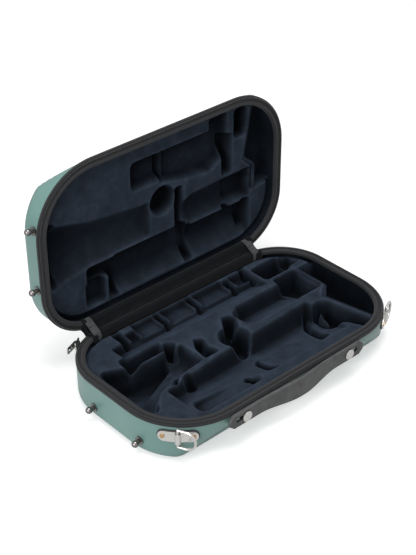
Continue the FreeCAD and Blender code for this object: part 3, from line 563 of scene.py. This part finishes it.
lower_joint = trough([(-124, -26, -58, 13), (-60, -19, -70, 19), (-8, -14, -77, 22), (102, -9, -77, 22)])
upper_joint = trough([(-122, 70, 45, 12), (96, 70, 45, 12)])
barrel = trough([(21, 29, 4, 8), (36, 38, -3, 18), (106, 38, -3, 18)], 0.2)
round_pocket = sunk(disc(-5, -4, 18), 36, 3)
rib = [(96, -50), (100, -40), (108, -26), (112, -28), (104, -42), (100, -54), (104, -62), (100, -66)]
base_mounds = [(sunk(polygon(rib), 1, 2), 9), (sunk(block(106, 128, -66, -60, 3), 1, 2), 24)]
base_others = [channel(bell), lower_joint, upper_joint, barrel, round_pocket]
base_field = deepest(base_blocks, base_plans, base_others)
base_field = settled(base_field, base_mounds, "base", base_bay, 2)

# %% [markdown]
# The lid's insert lies deeper below its rim. Its hollows press down on the same joints: the bell's
# wide cone at the left, a long pocket for the upper joint along the hinge, the round pocket with its
# raised collar in the middle, and the lower joint's keys along the front.

# %% The lid's hollows
lid_bay = [(139, 30), (139, -2), (125, -16), (138, -80), (134, -110), (190, -110), (190, 36), (172, 28)]
lid_blocks = [
    (-162, -148, -40, 44, 8, 17, 6),
    (32, 44, 38, 90, 3, 17, 2, -4),
    (121, 136, 40, 80, 4, 17, 4),
    (-110, -60, 36, 57, 4, 17, 4),
    (-113, -84, 55, 88, 5, 11, 5),
    (-80, -66, 45, 91, 3, 17, 2),
    (19, 31, -16, 37, 3, 17, 2),
    (100, 138, 8, 36, 4, 17, 4),
    (93, 104, 38, 46, 3, 14, 3),
    (-43, 0, -70, -36, 6, 13, 3),
    (-2, 5, -70, -32, 2, 17, 2),
    (72, 100, -86, -40, 5, 12, 5),
    (92, 107, -57, -4, 4, 17, 3),
    (111, 131, -84, -47, 6, 17, 3),
]
bell_dish = [(-162, 44), (-140, 36), (-110, 31), (-18, 31)]
bell_dish += [(-18, -12), (-60, -15), (-95, -20), (-130, -28), (-164, -34)]
lower_keys = [(5, -70), (5, -31), (34, -24), (74, -19), (91, -29), (97, -56), (97, -70)]
lid_others = [
    channel([(-160, 3, 38, 17), (-135, 3, 34, 16), (-100, 5, 27, 12), (-19, 9, 22, 9)]),
    channel([(28, 20, 12, 6), (44, 20, 19, 13), (100, 19, 20, 15), (138, 19, 20, 15)]),
    sloped(-72, 37, 34, 87, 16, 17),
    sloped(42, 137, 41, 88, 16, 27),
    sunk(disc(1, -8, 17.5), 17, 2),
]
collar = disc(1, -8, 22.5) * np.sign(-disc(1, -8, 18))
lid_field = deepest(lid_blocks, [(5, 4, bell_dish), (13, 3, lower_keys)], lid_others)
lid_field = settled(lid_field, [(sunk(collar, 1, 3), 2)], "lid", lid_bay, 3, least=0)

# %% [markdown]
# A grid is stretched from one side of the outline to the other, row by row, and every place on it
# drops by the height map's depth, so the sheet's border is as smooth as the outline. A skirt and a
# floor close it, since a closed shape has no stray edges. The height map also says how much of the
# sky each place sees, which is painted into the plush's colour as shade and highlight.

# %% Turn the height maps into sheets of plush
rows_across = 196
columns_along = 340
crowding = 0.35
sheet_gap = 0.1
skirt_gap = 0.05
# The skirt's one level of painted skylight, which paints it dark as shade.
skirt_painted_light = 0.3
sky_ways = 8
sky_reaches = (2, 4, 7, 11, 16, 24)
sky_lean = 0.7
wall_shade = 1.5
proud_blur = 2.5
proud_rise = 2
seen_share = 0.88
edge_painted_highlight = 0.12


def open_sky(field, light_side, deep_painted_shade):
    """How much of the sky each place of a hollow sees, from the rise of its walls in all directions, painted
    into the plush's colour as light and shade. Most painted light comes from one side in Y, edges that stand
    out get a painted highlight, and deep floors get more painted shade."""
    seen = np.zeros(field.shape)
    for way in range(sky_ways):
        angle = 2 * math.pi * way / sky_ways
        horizon = np.zeros(field.shape)
        for reach in sky_reaches:
            rows = int(round(reach * math.sin(angle)))
            columns = int(round(reach * math.cos(angle)))
            moved = np.roll(field, (-rows, -columns), (0, 1))
            horizon = np.maximum(horizon, (field - moved) / (math.hypot(rows, columns) * field_step))
        weight = (1 + sky_lean * light_side * math.sin(angle)) / sky_ways
        seen += weight / (1 + (wall_shade * horizon) ** 2)
    # A painted highlight on edges that stand out, and painted shade on deep floors.
    proud = np.clip((blurred(field, proud_blur) - field) / proud_rise, 0, 1)
    seen *= 1 - deep_painted_shade * field / field.max()
    return blurred(seen_share * seen, edge_blur) + edge_painted_highlight * proud


def paint_skylight(piece, levels):
    """Stores the painted skylight at each of a piece's places, or one level for them all; where it is low the
    plush is painted darker as shade.
    """
    levels = np.broadcast_to(levels, len(piece.data.vertices)).tolist()
    piece.data.attributes.new("open_sky", "FLOAT", "POINT").data.foreach_set("value", levels)


def depth_at(field, x, y):
    """The field's value between its places."""
    column = np.clip((x - field_x[0]) / field_step, 0, len(field_x) - 2)
    row = np.clip((y - field_y[0]) / field_step, 0, len(field_y) - 2)
    left, low = column.astype(int), row.astype(int)
    across, above = column - left, row - low
    near = field[low, left] * (1 - across) + field[low, left + 1] * across
    far = field[low + 1, left] * (1 - across) + field[low + 1, left + 1] * across
    return near * (1 - above) + far * above


def reach_at(y, inset):
    """How far the outline reaches from the middle, at one y."""
    front_y, rear_y = front_radius - half_width, half_width - rear_radius
    if front_y <= y <= rear_y:
        return half_length - inset
    corner, past = (front_radius, front_y - y) if y < front_y else (rear_radius, y - rear_y)
    return half_length - corner + math.sqrt(max((corner - inset) ** 2 - past ** 2, 0))


def make_insert(shell, field, sky):
    """The plush sheet over one insert, with rows that crowd towards its front and rear."""
    inset = insert_inset + sheet_gap
    face = insert_faces[shell]
    edge = half_width - inset
    front = max(-edge, float(bevel_limit(shell, inset, face)))
    points, skies = [], []
    for row in range(rows_across + 1):
        y = -edge * math.cos(math.pi * row / rows_across) * crowding
        y += (2 * row / rows_across - 1) * edge * (1 - crowding)
        y = front + (y + edge) * (edge - front) / (2 * edge)
        reach = reach_at(y, inset)
        x = np.linspace(-reach, reach, columns_along + 1)
        ys = np.full_like(x, y)
        points.append(np.column_stack([x, ys, face - depth_at(field, x, ys)]))
        skies.append(depth_at(sky, x, ys))
    points = np.vstack(points)
    faces = grid_faces(rows_across + 1, columns_along + 1)
    grid = np.arange(len(points)).reshape(rows_across + 1, columns_along + 1)
    around = np.concatenate([grid[0], grid[1:, -1], grid[-1, -2::-1], grid[-2:0:-1, 0]]).tolist()
    start, count = len(points), len(around)
    skirt = points[around]
    skirt[:, 2] = insert_inset + skirt_gap
    skirt[:, 1] = np.maximum(skirt[:, 1], bevel_limit(shell, inset, skirt[:, 2]))
    points = np.vstack([points, skirt])
    for index in range(count):
        beside = (index + 1) % count
        faces.append((around[beside], around[index], start + index, start + beside))
    faces.append(tuple(start + index for index in reversed(range(count))))
    piece = shell_piece(shell + "_plush", points, faces, shell)
    paint_skylight(piece, np.concatenate(skies + [np.full(count, skirt_painted_light)]))
    dress(piece, shell, shell + "_insert", plush)


make_insert("base", base_field, open_sky(base_field, light_side=1, deep_painted_shade=0.0))
make_insert("lid", lid_field, open_sky(lid_field, light_side=-1, deep_painted_shade=0.42))

# %% [markdown]
# ## Dividers
# A thin wall with a rounded top keeps the accessory bay apart from the instrument. It is a path with
# its corners rounded, offset to both sides and lofted up over a half round top.

# %% Make the dividers
divider_half = 2.2
divider_bend = 9.0
divider_path = [(143.5, 44.0), *bay_side, (134.6, -93.0)]
bend_steps = 6
path_step = 3
top_steps = 8
# The divider's one level of painted skylight, which paints its plush a little darker as shade.
divider_painted_light = 0.75


def bend(first, corner, last, steps):
    """Places on the curve that rounds a corner."""
    shares = [step / steps for step in range(steps + 1)]
    return [first.lerp(corner, share).lerp(corner.lerp(last, share), share) for share in shares]


def rounded_path(corners):
    """Places along straight runs joined by bends."""
    places = [Vector((*corner, 0)) for corner in corners]
    path = [places[0]]
    for before, corner, after in zip(places, places[1:], places[2:]):
        arrive, leave = (corner - before).normalized(), (after - corner).normalized()
        reach = divider_bend * math.tan(arrive.angle(leave) / 2)
        path += bend(corner - arrive * reach, corner, corner + leave * reach, bend_steps)
    path.append(places[-1])
    dense = []
    for start, end in zip(path, path[1:]):
        count = max(1, int((end - start).length / path_step))
        dense.extend(start.lerp(end, step / count) for step in range(count))
    return dense + [path[-1]]


def make_divider(shell, node):
    """A divider wall from the tray's floor to its rounded top."""
    path = rounded_path(divider_path)
    low, high = insert_inset, insert_faces[shell]
    section = [(-divider_half, low), (-divider_half, (low + high) / 2)]
    for step in range(top_steps + 1):
        angle = math.pi * step / top_steps
        rise = divider_half * math.sin(angle)
        section.append((-divider_half * math.cos(angle), high - divider_half + rise))
    section += [(divider_half, (low + high) / 2), (divider_half, low)]
    points = []
    for index, place in enumerate(path):
        ahead = (path[min(index + 1, len(path) - 1)] - path[max(index - 1, 0)]).normalized()
        side = Vector((-ahead.y, ahead.x, 0))
        for offset, height in section:
            spot = place + side * offset
            limit = float(bevel_limit(shell, insert_inset + sheet_gap, height))
            points.append((spot.x, max(spot.y, limit), height))
    count = len(section)
    last = (len(path) - 1) * count
    faces = [tuple(range(count))]
    faces += [(a, d, c, b) for a, b, c, d in grid_faces(len(path), count, wrap_columns=True)]
    faces.append(tuple(last + index for index in reversed(range(count))))
    piece = shell_piece(shell + "_divider_wall", points, faces, shell)
    paint_skylight(piece, divider_painted_light)
    dress(piece, shell, node, plush)


make_divider("base", "bay_divider")
make_divider("lid", "lid_divider")

# %% [markdown]
# ## Shells and linings
# A shell is one section swept round the outline: up the outer wall, over the rim and down the inner
# wall, with a generous round where the wall meets the flat. The lining is the same idea in plush.

# %% Make the shells and the linings
wall_steps = 10
lining_gap = 0.1
lining_drop = 0.3
# The lining's one level of painted skylight, which paints it much darker as shade down the walls.
lining_painted_light = 0.45
lining_crease = 0.8
creases = {"base": 4.0, "lid": 0.8}
flat_margin = 6
flat_reach = 30
rim_round = [(0, 0.6), (0.2, 0.15), (0.6, 0)]


def shell_section(outer, wall, depth, radius):
    """A section of a tray, over the rim from the middle of its outer face to that of its inner face, as rows
    of inset, height and the inset of the wall that they lie on."""
    flat = outer + radius + flat_margin
    levels = [outer + radius + (depth - outer - radius) * step / wall_steps for step in range(1, wall_steps)]

    def one_side(face, bend, inwards):
        """One face's rows, from its middle to the rim."""
        rows = [(flat + flat_reach, face), (flat, face)]
        for angle in range(0, 91, 10):
            turn = math.radians(angle)
            rows.append((face + bend * (1 - math.sin(turn)), face + bend * (1 - math.cos(turn))))
        rows += [(face, height) for height in levels]
        rows += [(face + step * inwards, depth - drop) for step, drop in rim_round]
        return [(*row, face) for row in rows]

    return one_side(outer, radius, 1) + one_side(outer + wall, radius - wall, -1)[::-1]


for shell, depth in shell_depths.items():
    section = shell_section(0, shell_wall, depth, edge_radius)
    tray = sweep(shell + "_shell_skin", section, shell, ring=False, bevel=creases[shell])
    dress(tray, shell, shell + "_shell", shell_finish)
    inside = shell_wall + lining_gap
    section = shell_section(inside, lining_wall, depth - lining_drop, edge_radius - inside)
    lining = sweep(shell + "_lining_plush", section, shell, ring=False, bevel=lining_crease)
    paint_skylight(lining, lining_painted_light)
    dress(lining, shell, shell + "_lining", plush)

# %% [markdown]
# ## Rims
# From outside in, each rim has the zip's coil, its woven tape and a firm round welt. The coil is
# hundreds of alike turns along a path, which is work for Geometry Nodes: a curve is resampled at the
# coil's pitch and one small turn is set on every place. The tape and the welt are swept sections.

# %% Rim finishes
zip_cloth = grained("zip tape", (0.012, 0.0125, 0.014), 0.8, (0.7, 2), [(0.35, 0.6), (0.65, 1.5)], 0.25, 0.7,
                    Sheen_Weight=0.12, Specular_IOR_Level=0.3)
coil_finish = grained("zip coil", (0.022, 0.023, 0.025), 0.42, (2.5, 2), [(0.35, 0.7), (0.7, 1.5)], 0.1, 0.4)
welt_cloth = grained("welt cloth", (0.018, 0.0185, 0.021), 0.75, (0.8, 3), [(0.3, 0.7), (0.7, 1.35)], 0.3,
                     0.6, Sheen_Weight=0.12, Specular_IOR_Level=0.3, Sheen_Roughness=0.45)
print("rim finishes:", zip_cloth.name, coil_finish.name, welt_cloth.name)

# %% Tapes and welts
tape_end_x = 127.5
tape_inset = 0.2
tape_width = 4.9
tape_thickness = 0.9
tape_wrap = 0.7
tape_lip = 2.6
soft = 0.3
clear = 0.04
welt_middle = 7.7
welt_drop = 0.2
welt_half_width = 2.5
welt_half_height = 2.75
welt_steps = 18
welt_boxiness = 2.2


def boxy(value):
    """A sine or cosine pushed outwards, which makes an oval boxier."""
    return math.copysign(abs(value) ** (2 / welt_boxiness), value)


def welt_section(depth):
    """The welt's closed oval, at a shell's rim."""
    pairs = []
    for step in range(welt_steps):
        angle = 2 * math.pi * step / welt_steps
        inset = welt_middle - welt_half_width * boxy(math.cos(angle))
        pairs.append((inset, depth - welt_drop - welt_half_height * boxy(math.sin(angle))))
    return pairs[::-1]


for shell, depth in shell_depths.items():
    inner, top, lip = tape_inset + tape_width, depth + tape_thickness, depth - tape_lip
    section = [
        (-tape_wrap, lip + soft),
        (-tape_wrap, top - soft),
        (-tape_wrap + soft / 2, top - soft / 4),
        (-tape_wrap + soft, top),
        (inner - soft / 2, top),
        (inner, top - soft / 2),
        (inner, depth + clear),
        (-clear, depth + clear),
        (-clear, lip),
        (-tape_wrap + soft / 2, lip),
    ]
    tape = sweep(shell + "_zip_tape", section, shell, end_x=tape_end_x)
    dress(tape, shell, shell + "_zipper_tape", zip_cloth)
    roll = sweep(shell + "_welt_roll", welt_section(depth), shell)
    dress(roll, shell, shell + "_rim_welt", welt_cloth)

# %% Zip coils by Geometry Nodes
coil_pitch = 2.1
coil_inset = 1.25
coil_half_width = 1.0
coil_half_height = 0.85
coil_sides = 8
coil_rings = 4
bead_length = 0.62
bead_taper = 0.62


def coil_turn():
    """One turn of the coil as a small bevelled bead with few faces."""
    points = []
    for ring in range(coil_rings):
        along = (ring / (coil_rings - 1) - 0.5) * coil_pitch * bead_length
        size = 1.0 if 0 < ring < coil_rings - 1 else bead_taper
        for side in range(coil_sides):
            angle = 2 * math.pi * side / coil_sides
            points.append((math.cos(angle) * coil_half_width * size * MM,
                           math.sin(angle) * coil_half_height * size * MM, along * MM))
    faces = grid_faces(coil_rings, coil_sides, wrap_columns=True)
    faces.append(tuple(reversed(range(coil_sides))))
    faces.append(tuple(range((coil_rings - 1) * coil_sides, coil_rings * coil_sides)))
    return make_piece("coil_turn_pattern", points, faces)


def repeat_tree():
    """Sets a pattern on even places along a curve mesh, turned to follow it, and its inputs' keys."""
    tree = bpy.data.node_groups.new("repeat along a path", "GeometryNodeTree")
    keys = {}
    inputs = {"Geometry": "Geometry", "Pitch": "Float", "Pattern": "Object", "Finish": "Material"}
    for name, kind in inputs.items():
        socket = tree.interface.new_socket(name, in_out="INPUT", socket_type="NodeSocket" + kind)
        keys[name] = socket.identifier
    tree.interface.new_socket("Geometry", in_out="OUTPUT", socket_type="NodeSocketGeometry")
    kinds = [
        ("in", "NodeGroupInput"), ("out", "NodeGroupOutput"), ("curve", "GeometryNodeMeshToCurve"),
        ("places", "GeometryNodeResampleCurve"), ("tangent", "GeometryNodeInputTangent"),
        ("turn", "FunctionNodeAlignRotationToVector"), ("object", "GeometryNodeObjectInfo"),
        ("copies", "GeometryNodeInstanceOnPoints"), ("real", "GeometryNodeRealizeInstances"),
        ("paint", "GeometryNodeSetMaterial"),
    ]
    made = {key: tree.nodes.new(kind) for key, kind in kinds}
    made["places"].mode = "LENGTH"
    made["turn"].axis = "Z"
    links = """in Geometry curve Mesh
    in Pitch places Length
    in Pattern object Object
    in Finish paint Material
    curve Curve places Curve
    places Curve copies Points
    tangent Tangent turn Vector
    turn Rotation copies Rotation
    object Geometry copies Instance
    copies Instances real Geometry
    real Geometry paint Geometry
    paint Geometry out Geometry"""
    for link in links.splitlines():
        source, output, target, socket = link.split()
        tree.links.new(made[source].outputs[output], made[target].inputs[socket])
    return tree, keys


def bake(piece):
    """Makes what a piece's modifiers give into its own plain mesh."""
    mesh = bpy.data.meshes.new_from_object(piece.evaluated_get(bpy.context.evaluated_depsgraph_get()))
    guide = piece.data
    piece.modifiers.clear()
    piece.data = mesh
    bpy.data.meshes.remove(guide)
    mesh.name = piece.name
    mesh.polygons.foreach_set("use_smooth", [True] * len(mesh.polygons))


tree, keys = repeat_tree()
pattern = coil_turn()
for shell, depth in shell_depths.items():
    rows = outline(coil_inset, zip_end_x)
    height = depth + tape_thickness + coil_half_height
    points = placed(np.column_stack([rows, np.full(len(rows), height)]), shell)
    edges = [(index, index + 1) for index in range(len(points) - 1)]
    coil = make_piece(shell + "_zip_coil", points, [], edges)
    modifier = coil.modifiers.new("repeat", "NODES")
    modifier.node_group = tree
    modifier[keys["Pitch"]] = coil_pitch * MM
    modifier[keys["Pattern"]] = pattern
    modifier[keys["Finish"]] = coil_finish
    bake(coil)
    dress(coil, shell, shell + "_zipper_coil")
bpy.data.objects.remove(pattern)

# %% [markdown]
# ## Metal and rubber finishes
# Nickel is bright with faint wear, and darker on the feet. The plates are satin and the screw heads
# are warm brass. Their shapes are already right in the model, so they only get their finish.

# %% Metal and rubber finishes
metals = []
for name, colour, roughness, worn, grain, height_mm in (
        ("polished nickel", (0.6, 0.59, 0.57), 0.1, 0.24, (2.0, 4), 0.01),
        ("smoked nickel", (0.2, 0.19, 0.185), 0.12, 0.24, (2.0, 4), 0.01),
        ("satin plate", (0.62, 0.61, 0.59), 0.28, 0.42, (0.8, 4, (1, 1, 6)), 0.02),
        ("brass screw head", (0.5, 0.34, 0.18), 0.25, 0.4, (1.0, 4), 0.01)):
    tones = [(0.3, 0.86), (0.7, 1.06)]
    metals.append(grained(name, colour, roughness, grain, tones, height_mm, 0.3, worn, Metallic=1.0))
nickel, smoked, satin_plate, brass = metals
rubber = grained("black rubber pad", (0.018, 0.018, 0.019), 0.7, (0.7, 3), [(0.3, 0.7), (0.7, 1.5)], 0.1, 0.5)

finish_of = {"nickel": nickel, "plate": satin_plate, "brass": brass, "pad": rubber}
for entry in frame["record"]["subparts"]:
    name = entry["node"]
    finish = finish_of.get(entry["material_slot"])
    if finish is nickel and ("feet" in name or "foot" in name):
        finish = smoked
    if finish is not None:
        mesh = nodes[name].data
        mesh.materials.clear()
        mesh.materials.append(finish)
        print(name, "gets", finish.name)

# %% [markdown]
# ## Leather handle
# The handle is a thick strap with pressed edges. It stands off the wall, bows outwards in the middle
# and bulges below, and each end has a slot for its flat stud. In the model it is a grip and two ends,
# since the grip slides out when the case is lifted, so the leather is made in two halves, from the
# studs to the middle, which take the place of the ends and the grip.

# %% Leather finish
leather_colour = (0.055, 0.056, 0.058)
leather, shader = new_material("grey black leather", leather_colour, 0.5, Specular_IOR_Level=0.45)
cells = add(leather, "ShaderNodeTexVoronoi", Scale=1 / (1.1 * MM), feature="DISTANCE_TO_EDGE")
join(leather, add(leather, "ShaderNodeTexCoord"), "Object", cells, "Vector")
ramp = shades(leather, noise(leather, 9, 4), leather_colour, [(0.3, 0.75), (0.7, 1.4)])
join(leather, ramp, "Color", shader, "Base Color")
pores = bump(leather, shader, cells, 0.1, 0.35, output="Distance")
bump(leather, shader, noise(leather, 0.7, 3), 0.12, 0.4, pores)
print("leather's colour:", leather_colour)

# %% Make the strap's halves
handle_x = -10.0
handle_z = 42.0
strap_half = 100.5
strap_low = 8.75
strap_high = 12.5
strap_bow = 6.0
strap_thickness = 4.0
strap_stand = 2.2
strap_cut = 6.0
cut_slope = 0.9
swell_gain = 1.15
strap_columns = 168
strap_rows = 28
grip_half = 58.0
stud_offset = 77.5
slot_length = 11.0
slot_radius = 3.3
slot_lip = 0.5
lip_reach = 0.6
inner_share = 0.8
edge_round = 1.1
groove_depth = 0.35
groove_half = 0.45
edge_groove = 2.6
slot_groove = 1.6


def strap_edge(dx):
    """Half the strap's height, at a place along it."""
    swell = smooth_share((1 - abs(dx) / grip_half) * swell_gain)
    half = strap_low + (strap_high - strap_low) * float(swell)
    end = strap_half - abs(dx)
    if end < strap_cut:
        half -= (strap_cut - end) * cut_slope
    return half


def round_off(gap):
    """How far the strap's rounded edge falls away at a distance from it."""
    past = min(max(1 - gap / edge_round, 0), 1)
    return edge_round * (1 - math.sqrt(1 - past ** 2))


def slot_gap(dx, dz):
    """Distance from the edge of the strap's slot, negative inside it."""
    nearest = min(max(abs(dx), stud_offset), stud_offset + slot_length)
    return math.hypot(abs(dx) - nearest, dz) - slot_radius


def groove(gap, middle):
    """The depth of a pressed line that runs at a distance from an edge."""
    return groove_depth * math.exp(-((gap - middle) / groove_half) ** 2)


def make_strap_half(name, side):
    """One half of the strap, from its middle to its end, with the slot through it."""
    start, end = (0.0, strap_half) if side > 0 else (-strap_half, 0.0)
    wide = strap_rows + 1
    places, outer, inner = [], [], []
    for column in range(strap_columns + 1):
        dx = start + (end - start) * column / strap_columns
        half = strap_edge(dx)
        bow = strap_bow * (1 - float(smooth_share(abs(dx) / grip_half)))
        stand = strap_stand + bow
        for row in range(wide):
            dz = (2 * row / strap_rows - 1) * half
            rim = min(half - abs(dz), strap_half - abs(dx))
            slot = slot_gap(dx, dz)
            drop = round_off(rim)
            line = max(groove(rim, edge_groove), groove(slot, slot_groove))
            lip = slot_lip * math.exp(-max(slot, 0) / slot_lip) if slot > -lip_reach else 0
            x, z = handle_x + dx, handle_z + dz
            places.append((dx, dz))
            outer.append((x, -half_width - stand - strap_thickness + drop + line + lip, z))
            inner.append((x, -half_width - stand - drop * inner_share, z))
    kept = set()
    for column in range(strap_columns):
        for row in range(strap_rows):
            corner = column * wide + row
            around = [places[index] for index in (corner, corner + 1, corner + wide, corner + wide + 1)]
            dx, dz = (sum(values) / 4 for values in zip(*around))
            if slot_gap(dx, dz) >= 0:
                kept.add((column, row))
    faces = []
    count = len(outer)
    for column, row in sorted(kept):
        a = column * wide + row
        b, c, d = a + wide, a + wide + 1, a + 1
        faces.append((a, b, c, d))
        faces.append((a + count, d + count, c + count, b + count))
        edges = [(0, -1, a, b), (1, 0, b, c), (0, 1, c, d), (-1, 0, d, a)]
        for step_x, step_z, first, second in edges:
            if (column + step_x, row + step_z) not in kept:
                faces.append((second, first, first + count, second + count))
    used = sorted({index for face in faces for index in face})
    renumber = {old: new for new, old in enumerate(used)}
    everything = outer + inner
    points = np.array([everything[index] for index in used]) * MM
    return make_piece(name, points, [tuple(renumber[index] for index in face) for face in faces])


for name, side, node in (("strap_left", -1, "handle_end_left"), ("strap_right", 1, "handle_end_right")):
    strap = make_strap_half(name, side)
    dress(strap, None, node, leather)
    if side < 0:
        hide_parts("handle_grip")
    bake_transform(strap)

# %% [markdown]
# ## Cloth at the hinge
# Two strips of black cloth join the shells, one outside and one inside, and a grey ribbon at each
# end of the hinge keeps the open lid from falling back. They cross the hinge, so they ride on neither shell.

# %% Cloth finishes
hinge_cloth = grained("black hinge cloth", (0.004, 0.0045, 0.006), 0.9, (0.8, 3), [(0.3, 0.7), (0.7, 1.6)],
                      0.3, 0.6, Sheen_Weight=0.05, Specular_IOR_Level=0.1)
grosgrain = grained("grosgrain ribbon", (0.042, 0.044, 0.046), 0.7, (0.8, 2, (0.15, 1, 1)),
                    [(0.35, 0.7), (0.65, 1.3)], 0.3, 0.8, Sheen_Weight=0.2, Specular_IOR_Level=0.25)
print("cloth finishes:", hinge_cloth.name, grosgrain.name)

# %% Make the strips and the ribbons
cloth_columns = 80
ribbon_columns = 12
ribbon_x = 122.0
ribbon_half = 4.75
ribbon_thickness = 0.7
end_share = 0.35
ripples = [(1, 0.21, 0), (0.6, 0.37, 1)]


def smooth_chain(chain):
    """A rounded line through the middles of the runs of a chain of (y, z), with its ends kept."""
    chain = [Vector((0, y, z)) for y, z in chain]
    line = [chain[0]]
    for before, corner, after in zip(chain, chain[1:], chain[2:]):
        first = before.lerp(corner, end_share if before is chain[0] else 0.5)
        last = corner.lerp(after, 1 - end_share if after is chain[-1] else 0.5)
        line += bend(first, corner, last, bend_steps)
    return line + [chain[-1]]


def follow_corner(x, share, spot):
    """Keeps a hinge strip's two edges on the rear walls, which curve forward near their ends."""
    past = max(0.0, abs(x) - (half_length - rear_radius))
    curve = rear_radius - math.sqrt(max(rear_radius ** 2 - past ** 2, 0))
    spot.y -= curve * (1 - share)
    spot.z += curve * share
    return spot


def strip_piece(name, line, low_x, high_x, thickness, columns, wave=None):
    """A strip of cloth along X whose section follows a line. A wave makes it uneven by that much and lets it
    follow the walls' corners."""
    points = []
    last = len(line) - 1
    for column in range(columns + 1):
        x = low_x + (high_x - low_x) * column / columns
        rows = []
        for index, place in enumerate(line):
            ahead = (line[min(index + 1, last)] - line[max(index - 1, 0)]).normalized()
            normal = Vector((0, -ahead.z, ahead.y))
            spot = place.copy()
            if wave is not None:
                ripple = wave * math.sin(math.pi * index / last)
                ripple *= sum(size * math.sin(x * rate + shift) for size, rate, shift in ripples) / 2
                spot = follow_corner(x, index / last, place + normal * ripple)
            rows.append((spot, normal.y * thickness / 2, normal.z * thickness / 2))
        points.extend((x, spot.y + off_y, spot.z + off_z) for spot, off_y, off_z in rows)
        points.extend((x, spot.y - off_y, spot.z - off_z) for spot, off_y, off_z in reversed(rows))
    wide = 2 * len(line)
    faces = [tuple(reversed(range(wide)))]
    faces += grid_faces(columns + 1, wide, wrap_columns=True)
    faces.append(tuple(range(columns * wide, (columns + 1) * wide)))
    return make_piece(name, np.array(points) * MM, faces)


outer_chain = [(104.6, 38), (104.6, 45.5), (105.6, 49.6), (111.3, 50.7), (123.3, 50.7)]
inner_chain = [(93.1, 44.5), (93.1, 51.5), (94.6, 53.5), (98.4, 53.6), (101.5, 52.2), (104.5, 51.6),
               (107.4, 55.5), (107.9, 57), (107.9, 61), (109.6, 62.1), (114.5, 62.2)]
ribbon_chain = [(92.5, 45), (92.5, 53.9), (97.5, 56.1), (106.4, 61.2), (108.4, 63.0), (114.5, 63.1)]
outer_bends = ((0, 0.1048, 0.0485), (0, 0.1108, 0.0500))
inner_bends = ((0, 0.1035, 0.0515), (0, 0.1075, 0.0545))
for name, node, chain, half, thickness, wave, bends in (
        ("outer_hinge_cloth", "hinge_tape", outer_chain, 131.0, 0.8, 0.25, outer_bends),
        ("inner_hinge_cloth", "hinge_lining", inner_chain, 130.0, 0.5, 0.15, inner_bends)):
    line = smooth_chain(chain)
    cloth = strip_piece(name, line, -half, half, thickness, cloth_columns, wave)
    dress(cloth, None, node, hinge_cloth)
    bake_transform(cloth)
for side, middle in (("left", -ribbon_x), ("right", ribbon_x)):
    ribbon = strip_piece("ribbon_" + side, smooth_chain(ribbon_chain), middle - ribbon_half,
                         middle + ribbon_half, ribbon_thickness, ribbon_columns)
    dress(ribbon, None, "stay_ribbon_" + side, grosgrain)
    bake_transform(ribbon)

# %% [markdown]
# ## Floor, light and room
# A white floor and a soft room light the case evenly. One large lamp hangs above it and a second
# stands low at its left, so the shadows stay short and pale. The floor glows for the camera, more so
# far away, which carries its white past the shadows' edge without adding light to the case.

# %% Set the stage
floor_half = 6.0
floor_corners = [(x * floor_half, y * floor_half, 0) for x, y in ((-1, -1), (1, -1), (1, 1), (-1, 1))]
floor = make_piece("floor", floor_corners, [(0, 1, 2, 3)], smooth=False)
paper, shader = new_material("white floor", (0.8, 0.8, 0.8), 0.9, Specular_IOR_Level=0.0,
                             Emission_Color=(1, 1, 1, 1))
away = add(paper, "ShaderNodeVectorMath", operation="LENGTH")
reach = add(paper, "ShaderNodeMapRange", From_Min=0.5, From_Max=1.6, To_Min=0.5, To_Max=0.95)
glow = add(paper, "ShaderNodeMath", operation="MULTIPLY")
join(paper, add(paper, "ShaderNodeTexCoord"), "Object", away, "Vector")
join(paper, away, "Value", reach, "Value")
join(paper, add(paper, "ShaderNodeLightPath"), "Is Camera Ray", glow, 0)
join(paper, reach, "Result", glow, 1)
join(paper, glow, "Value", shader, "Emission Strength")
floor.data.materials.append(paper)

world = bpy.data.worlds.new("room")
bpy.context.scene.world = world
world.use_nodes = True
background = world.node_tree.nodes["Background"]
background.inputs["Color"].default_value = (1, 1, 1, 1)
seen = add(world, "ShaderNodeLightPath")
either = add(world, "ShaderNodeMath", operation="MAXIMUM")
level = add(world, "ShaderNodeMapRange", To_Min=0.18, To_Max=1.0)
join(world, seen, "Is Camera Ray", either, 0)
join(world, seen, "Is Glossy Ray", either, 1)
join(world, either, "Value", level, "Value")
join(world, level, "Result", background, "Strength")


def add_lamp(name, place, target, size, power):
    """A square soft lamp that faces a place."""
    lamp = bpy.data.lights.new(name, "AREA")
    lamp.size = size
    lamp.energy = power
    holder = bpy.data.objects.new(name, lamp)
    holder.location = place
    holder.rotation_mode = "QUATERNION"
    holder.rotation_quaternion = (Vector(target) - Vector(place)).to_track_quat("-Z", "Y")
    bpy.context.scene.collection.objects.link(holder)


add_lamp("top lamp", (-0.15, -0.3, 1.9), (0, 0.05, 0.05), 1.1, 26)
add_lamp("left lamp", (-1.7, -0.5, 0.7), (0, 0.05, 0.08), 1.2, 21.5)
bpy.context.scene.view_settings.view_transform = "Standard"
print("stage is set")
